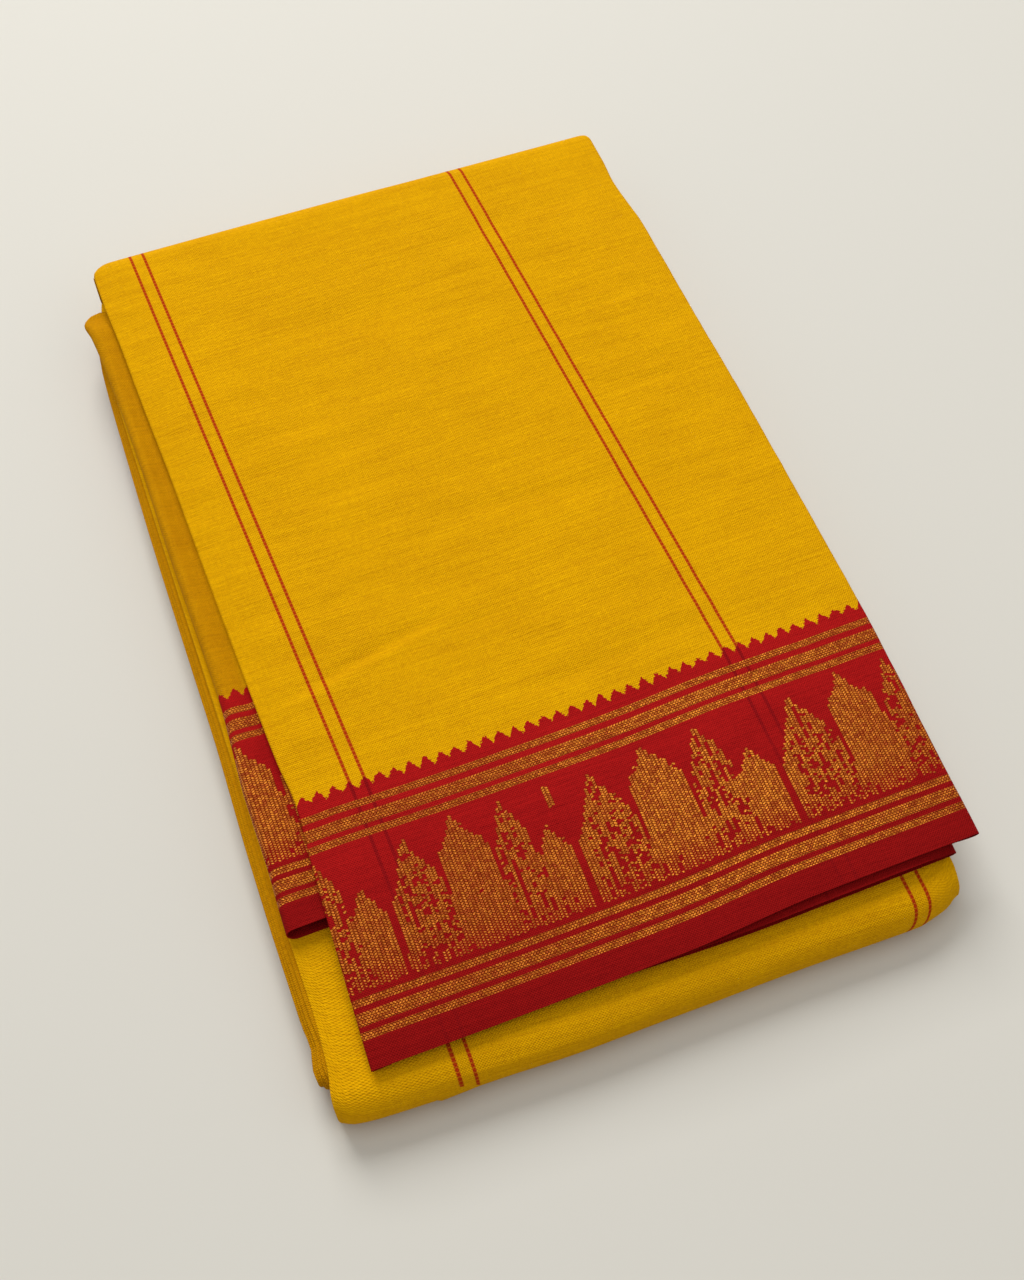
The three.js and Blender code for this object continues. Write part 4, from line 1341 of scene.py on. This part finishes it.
    def charted(self, tree: Tree, at: Socket, rows: Rows, top: float) -> Socket:
        """Reads a chart of straight lines between its rows.

        Args:
            tree: The node tree.
            at: The place to read, from 0 to 1.
            rows: The chart.
            top: The chart's full height.

        Returns:
            The chart's value.
        """
        drawn = put(tree, "FloatCurve", named={"Value": at})
        mapping = drawn.node.mapping
        line = mapping.curves[0]
        for place, height in rows[1:-1]:
            line.points.new(place, height / top)
        for index, (place, height) in ((0, rows[0]), (len(rows) - 1, rows[-1])):
            line.points[index].location = (place, height / top)
        for point in line.points:
            point.handle_type = "VECTOR"
        mapping.update()
        return put(tree, "MULTIPLY", drawn, top)

    def teeth(self, tree: Tree, along: Socket, depth: Socket) -> Socket:
        """The border's side of its row of teeth, whose rows of weft end unevenly.

        Args:
            tree: The node tree.
            along: Place along the saree.
            depth: Place from the selvedge.

        Returns:
            The mask of the border.
        """
        half = self.tooth / 2
        row = put(tree, "MULTIPLY", depth, 1 / self.pick)
        number = put(tree, "FLOOR", row)
        tooth_number = put(tree, "SNAP", along, half)
        cell = put(tree, "CombineXYZ", tooth_number, number)
        chance = put(tree, "TexWhiteNoise", cell, noise_dimensions="2D")
        moved = put(tree, "MULTIPLY_ADD", chance, self.pick_shift, along)
        ramp = put(tree, "PINGPONG", moved, half)
        share = put(tree, "MULTIPLY", ramp, 2 / self.tooth)
        climb = put(tree, "POWER", share, self.tooth_round)
        scale, sway = self.tooth_sway
        line = put(tree, "CombineXYZ", along)
        slow = put(tree, "TexNoise", named={"Vector": line, "Scale": scale, "Detail": 2.0})
        base = put(tree, "MULTIPLY_ADD", slow, sway, self.tooth_base - sway / 2)
        tip = put(tree, "MULTIPLY_ADD", climb, self.tooth_rise, base)
        return put(tree, "LESS_THAN", depth, tip)

    def ground(self, tree: Tree, along: Socket, depth: Socket) -> Socket:
        """Colour of the plain weave: mustard with red lines, or the border's deeper red.

        Args:
            tree: The node tree.
            along: Place along the saree.
            depth: Place from the selvedge.

        Returns:
            The colour.
        """
        border = self.teeth(tree, along, depth)
        lines = self.red_lines(tree, along, depth)
        cloud = self.cloud(tree, along, depth)
        mustard, red = (
            put(tree, "Mix", cloud, named={6: linear(deep), 7: linear(full)}, **COLOURS)
            for deep, full in ((self.mustard_deep, self.mustard), (self.red_deep, self.red))
        )
        # Painted shade: the mustard past the top panel's left edge, on the roll and the inner leaves,
        # is multiplied darker
        second = put(tree, "MapRange", along, *self.roll_painted_shade_over, 0.0, 1.0)
        painted_shade_mix = {6: mustard, 7: linear(self.roll_painted_shade)}
        mustard_painted_shade = put(tree, "Mix", second, named=painted_shade_mix, blend_type="MULTIPLY", **COLOURS)
        faint = put(tree, "MapRange", depth, *self.crossing_over, *self.crossing_shown)
        dim = put(tree, "MULTIPLY", lines["whole"], faint)
        # Painted shade: the red is darkened towards the front selvedge
        shade = put(tree, "MapRange", depth, *self.front_painted_shade_over, self.front_painted_shade, 1.0)
        red_painted_shade = put(tree, "Mix", shade, named={6: linear("000000"), 7: red}, **COLOURS)
        yellow_side, red_side = (
            put(tree, "Mix", line, named={6: painted_shade_base, 7: linear(crossed)}, **COLOURS)
            for line, painted_shade_base, crossed in (
                (lines["dashed"], mustard_painted_shade, self.line_red), (dim, red_painted_shade, self.red_crossing)
            )
        )
        return put(tree, "Mix", border, named={6: yellow_side, 7: red_side}, **COLOURS)

    def red_lines(self, tree: Tree, along: Socket, depth: Socket) -> dict[str, Socket]:
        """Pairs of thin red lines along the weft, whole and broken into dashes.

        Args:
            tree: The node tree.
            along: Place along the saree.
            depth: Place from the selvedge.

        Returns:
            The masks of the whole and of the dashed lines.
        """
        middle = self.line_first + self.line_pair / 2
        half_gap = self.line_gap / 2
        inside = put(tree, "ADD", depth, -BORDER_DEPTH)
        behind = put(tree, "MINIMUM", inside, 0.0)
        upright = put(tree, "MULTIPLY_ADD", behind, self.line_lean, along)
        from_pair = put(tree, "ADD", upright, -middle)
        wrapped = put(tree, "WRAP", from_pair, half_gap, -half_gap)
        aside = put(tree, "ABSOLUTE", wrapped)
        off = put(tree, "ADD", aside, -self.line_pair / 2)
        close = put(tree, "ABSOLUTE", off)
        edges = (self.line_width * share for share in self.line_edge)
        whole = put(tree, "MapRange", close, *edges, 0.0, 1.0)
        beat = put(tree, "MULTIPLY", depth, 1 / self.dash)
        part = put(tree, "PINGPONG", beat, 0.5)
        dash = put(tree, "MapRange", part, *self.dash_edge, self.dash_gap, 1.0)
        return {"whole": whole, "dashed": put(tree, "MULTIPLY", whole, dash)}

    def cloud(self, tree: Tree, along: Socket, depth: Socket) -> Socket:
        """Uneven dye and slubs: noise drawn out along the threads of both directions, added up.

        Args:
            tree: The node tree.
            along: Place along the saree.
            depth: Place from the selvedge.

        Returns:
            The sum, from 0 to 1.
        """
        total: Socket | float = 0.0
        for layer, (*scale, weight) in enumerate(self.slubs):
            noise = self.noise(tree, (along, depth), scale, self.slub_detail, SLUB_LAYER * layer)
            centred = put(tree, "ADD", noise, -0.5)
            weight = weight * self.slub_weight
            total = put(tree, "MULTIPLY_ADD", centred, weight, total)
        return put(tree, "MapRange", total, -self.slub_range, self.slub_range, 0.0, 1.0)

    def weave(self, tree: Tree, along: Socket, depth: Socket) -> Socket:
        """Height of the plain weave: threads over and under each other, with uneven slubs.

        Args:
            tree: The node tree.
            along: Place along the saree.
            depth: Place from the selvedge.

        Returns:
            The height.
        """
        turn = 2 * math.pi / self.thread
        beats = (put(tree, "MULTIPLY", at, turn) for at in (along, depth))
        warp, weft = (put(tree, "SINE", beat) for beat in beats)
        crossing = put(tree, "MULTIPLY", warp, weft)
        slub = self.noise(tree, (along, depth), self.knots, self.knot_detail)
        return put(tree, "MULTIPLY_ADD", slub, self.knot_height, crossing)


@dataclass(frozen=True)
class PaleFloor:
    """A plain pale matt floor, off-white like unbleached paper."""

    name: str = "pale_paper"
    colour: str = "D2CFC6"
    roughness: float = 0.9

    def make(self) -> bpy.types.Material:
        """Builds the matt node material.

        Returns:
            The material.
        """
        material = bpy.data.materials.new(self.name)
        material.use_nodes = True
        shader = material.node_tree.nodes["Principled BSDF"]
        shader.inputs["Base Color"].default_value = linear(self.colour)
        shader.inputs["Roughness"].default_value = self.roughness
        return material


@dataclass
class Studio:
    """Floor, soft light and the camera at the photo's viewing angle."""

    camera_place: tuple[float, float, float] = (-131.324, -115.234, 584.318)
    tilt: float = 62.706  # degrees below the horizon
    turn: float = 24.232  # degrees to the right of +Y
    roll: float = 3.179
    lens: float = 42.19
    sensor: float = 36.0
    near: float = 0.01  # metres in front of the camera where the view starts
    floor_half: float = 3.0  # half the floor's side, in metres
    # Square lights, in metres and watts: name, place, side and power
    lights: tuple[tuple[str, tuple[float, float, float], float, float], ...] = (
        ("key", (0.0, 2.05, 2.0), 1.6, 71.0),
        ("top", (-0.2, 0.0, 2.2), 1.5, 11.0),
        ("fill", (0.9, -0.9, 1.2), 1.2, 2.0),
    )
    surround: str = "F4F2EE"
    ambient: float = 0.365

    def floor(self) -> None:
        """A wide square floor at Z = 0."""
        half = self.floor_half
        mesh = bpy.data.meshes.new("floor")
        corners = [(-half, -half, 0), (half, -half, 0), (half, half, 0), (-half, half, 0)]
        mesh.from_pydata(corners, [], [(0, 1, 2, 3)])
        mesh.materials.append(PaleFloor().make())
        made = bpy.data.objects.new("floor", mesh)
        bpy.context.scene.collection.objects.link(made)

    def camera(self, origin: Array) -> None:
        """Stands the camera where the photo was taken from.

        Its forward, right and up directions follow from the tilt and the turn, and the roll turns
        right and up about forward.

        Args:
            origin: The drawing frame's origin in the part's frame, in metres.
        """
        tilt, turn, roll = (math.radians(a) for a in (self.tilt, self.turn, self.roll))
        forward = Vector(
            (math.sin(turn) * math.cos(tilt), math.cos(turn) * math.cos(tilt), -math.sin(tilt))
        )
        level = Vector((math.cos(turn), -math.sin(turn), 0))
        above = level.cross(forward)
        right = level * math.cos(roll) + above * math.sin(roll)
        up = above * math.cos(roll) - level * math.sin(roll)
        data = bpy.data.cameras.new("camera")
        data.lens, data.sensor_width, data.clip_start = self.lens, self.sensor, self.near
        data.dof.use_dof = False
        made = bpy.data.objects.new("camera", data)
        place = Vector(np.array(self.camera_place) * MM + origin)
        turned = Matrix((right, up, -forward)).transposed().to_4x4()
        made.matrix_world = Matrix.Translation(place) @ turned
        bpy.context.scene.collection.objects.link(made)
        bpy.context.scene.camera = made

    def light(self) -> None:
        """Square soft lights that face the saree, and an even pale surround."""
        for name, place, size, power in self.lights:
            data = bpy.data.lights.new(name, "AREA")
            data.shape, data.size, data.energy = "SQUARE", size, power
            made = bpy.data.objects.new(name, data)
            made.location = place
            made.rotation_mode = "QUATERNION"
            made.rotation_quaternion = (-Vector(place)).to_track_quat("-Z", "Y")
            bpy.context.scene.collection.objects.link(made)
        world = bpy.data.worlds.new("studio")
        world.use_nodes = True
        background = world.node_tree.nodes["Background"]
        background.inputs["Color"].default_value = linear(self.surround)
        background.inputs["Strength"].default_value = self.ambient
        bpy.context.scene.world = world
        bpy.context.scene.view_settings.view_transform = "Standard"


@dataclass
class Saree:
    """The whole folded saree: its visible stretches of cloth and the panels inside."""

    origin: Array
    top: TopPanel = field(default_factory=TopPanel)
    roll: LeftRoll = field(default_factory=LeftRoll)
    loop: RightLoop = field(default_factory=RightLoop)
    lower: LowerPanel = field(default_factory=LowerPanel)
    inner: InnerLeaves = field(default_factory=InnerLeaves)

    def build(self) -> None:
        """Makes and dresses every piece, and hides the part that each stands in for."""
        cloth = SareeCloth().make()
        top, roll, loop, lower = self.top, self.roll, self.loop, self.lower
        jobs = (
            ("top_field_cloth", [top.field()], "top_field", Slot.MUSTARD, (0.28, 0.328),
             ["roll_field_cloth", "loop_field_cloth"]),
            ("top_border_cloth", [top.border()], "top_border", Slot.BORDER, (0.28, 0.107),
             ["roll_border_cloth", "loop_border_cloth"]),
            ("roll_field_cloth", [roll.field()], "roll_field", Slot.MUSTARD, (0.062, 0.21),
             ["lower_wrap_cloth"]),
            ("roll_border_cloth", [roll.border()], "roll_border", Slot.BORDER, (0.062, 0.11),
             ["lower_wrap_cloth"]),
            ("loop_field_cloth", [loop.field()], "loop_field", Slot.MUSTARD, (0.061, 0.27),
             ["lower_wrap_cloth"]),
            ("loop_border_cloth", [loop.border()], "loop_border", Slot.BORDER, (0.387, 0.107),
             ["lower_wrap_cloth"]),
            ("lower_wrap_cloth", [lower.field()], "lower_wrap", Slot.MUSTARD, (0.275, 0.70),
             ["floor"]),
            ("bottom_border_cloth", [lower.border()], "bottom_border", Slot.BORDER, (0.275, 0.107),
             ["floor"]),
            ("inner_leaves_cloth", self.inner.shells(), "hidden_layers", Slot.MUSTARD, (0.30, 6.0),
             ["bottom_border_cloth", "lower_wrap_cloth"]),
        )
        for name, shells, node, slot, flat, rests_on in jobs:
            piece = cloth_object(name, shells, self.origin)
            piece.data.materials.append(cloth)
            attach(piece, BODY)
            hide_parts(node)
            log.info("%s: %d faces", name, len(piece.data.polygons))


def main() -> None:
    """Builds the studio and the saree."""
    logging.basicConfig(level=logging.INFO, format="%(name)s: %(message)s")
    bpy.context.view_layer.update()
    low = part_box("top_border")[0]
    origin = np.array([low[0] - FRAME_LEFT * MM, low[1] - FRAME_FRONT * MM, 0.0])
    studio = Studio()
    studio.camera(origin)
    studio.floor()
    studio.light()
    Saree(origin).build()
    log.info("boxes written")


if __name__ == "__main__":
    main()
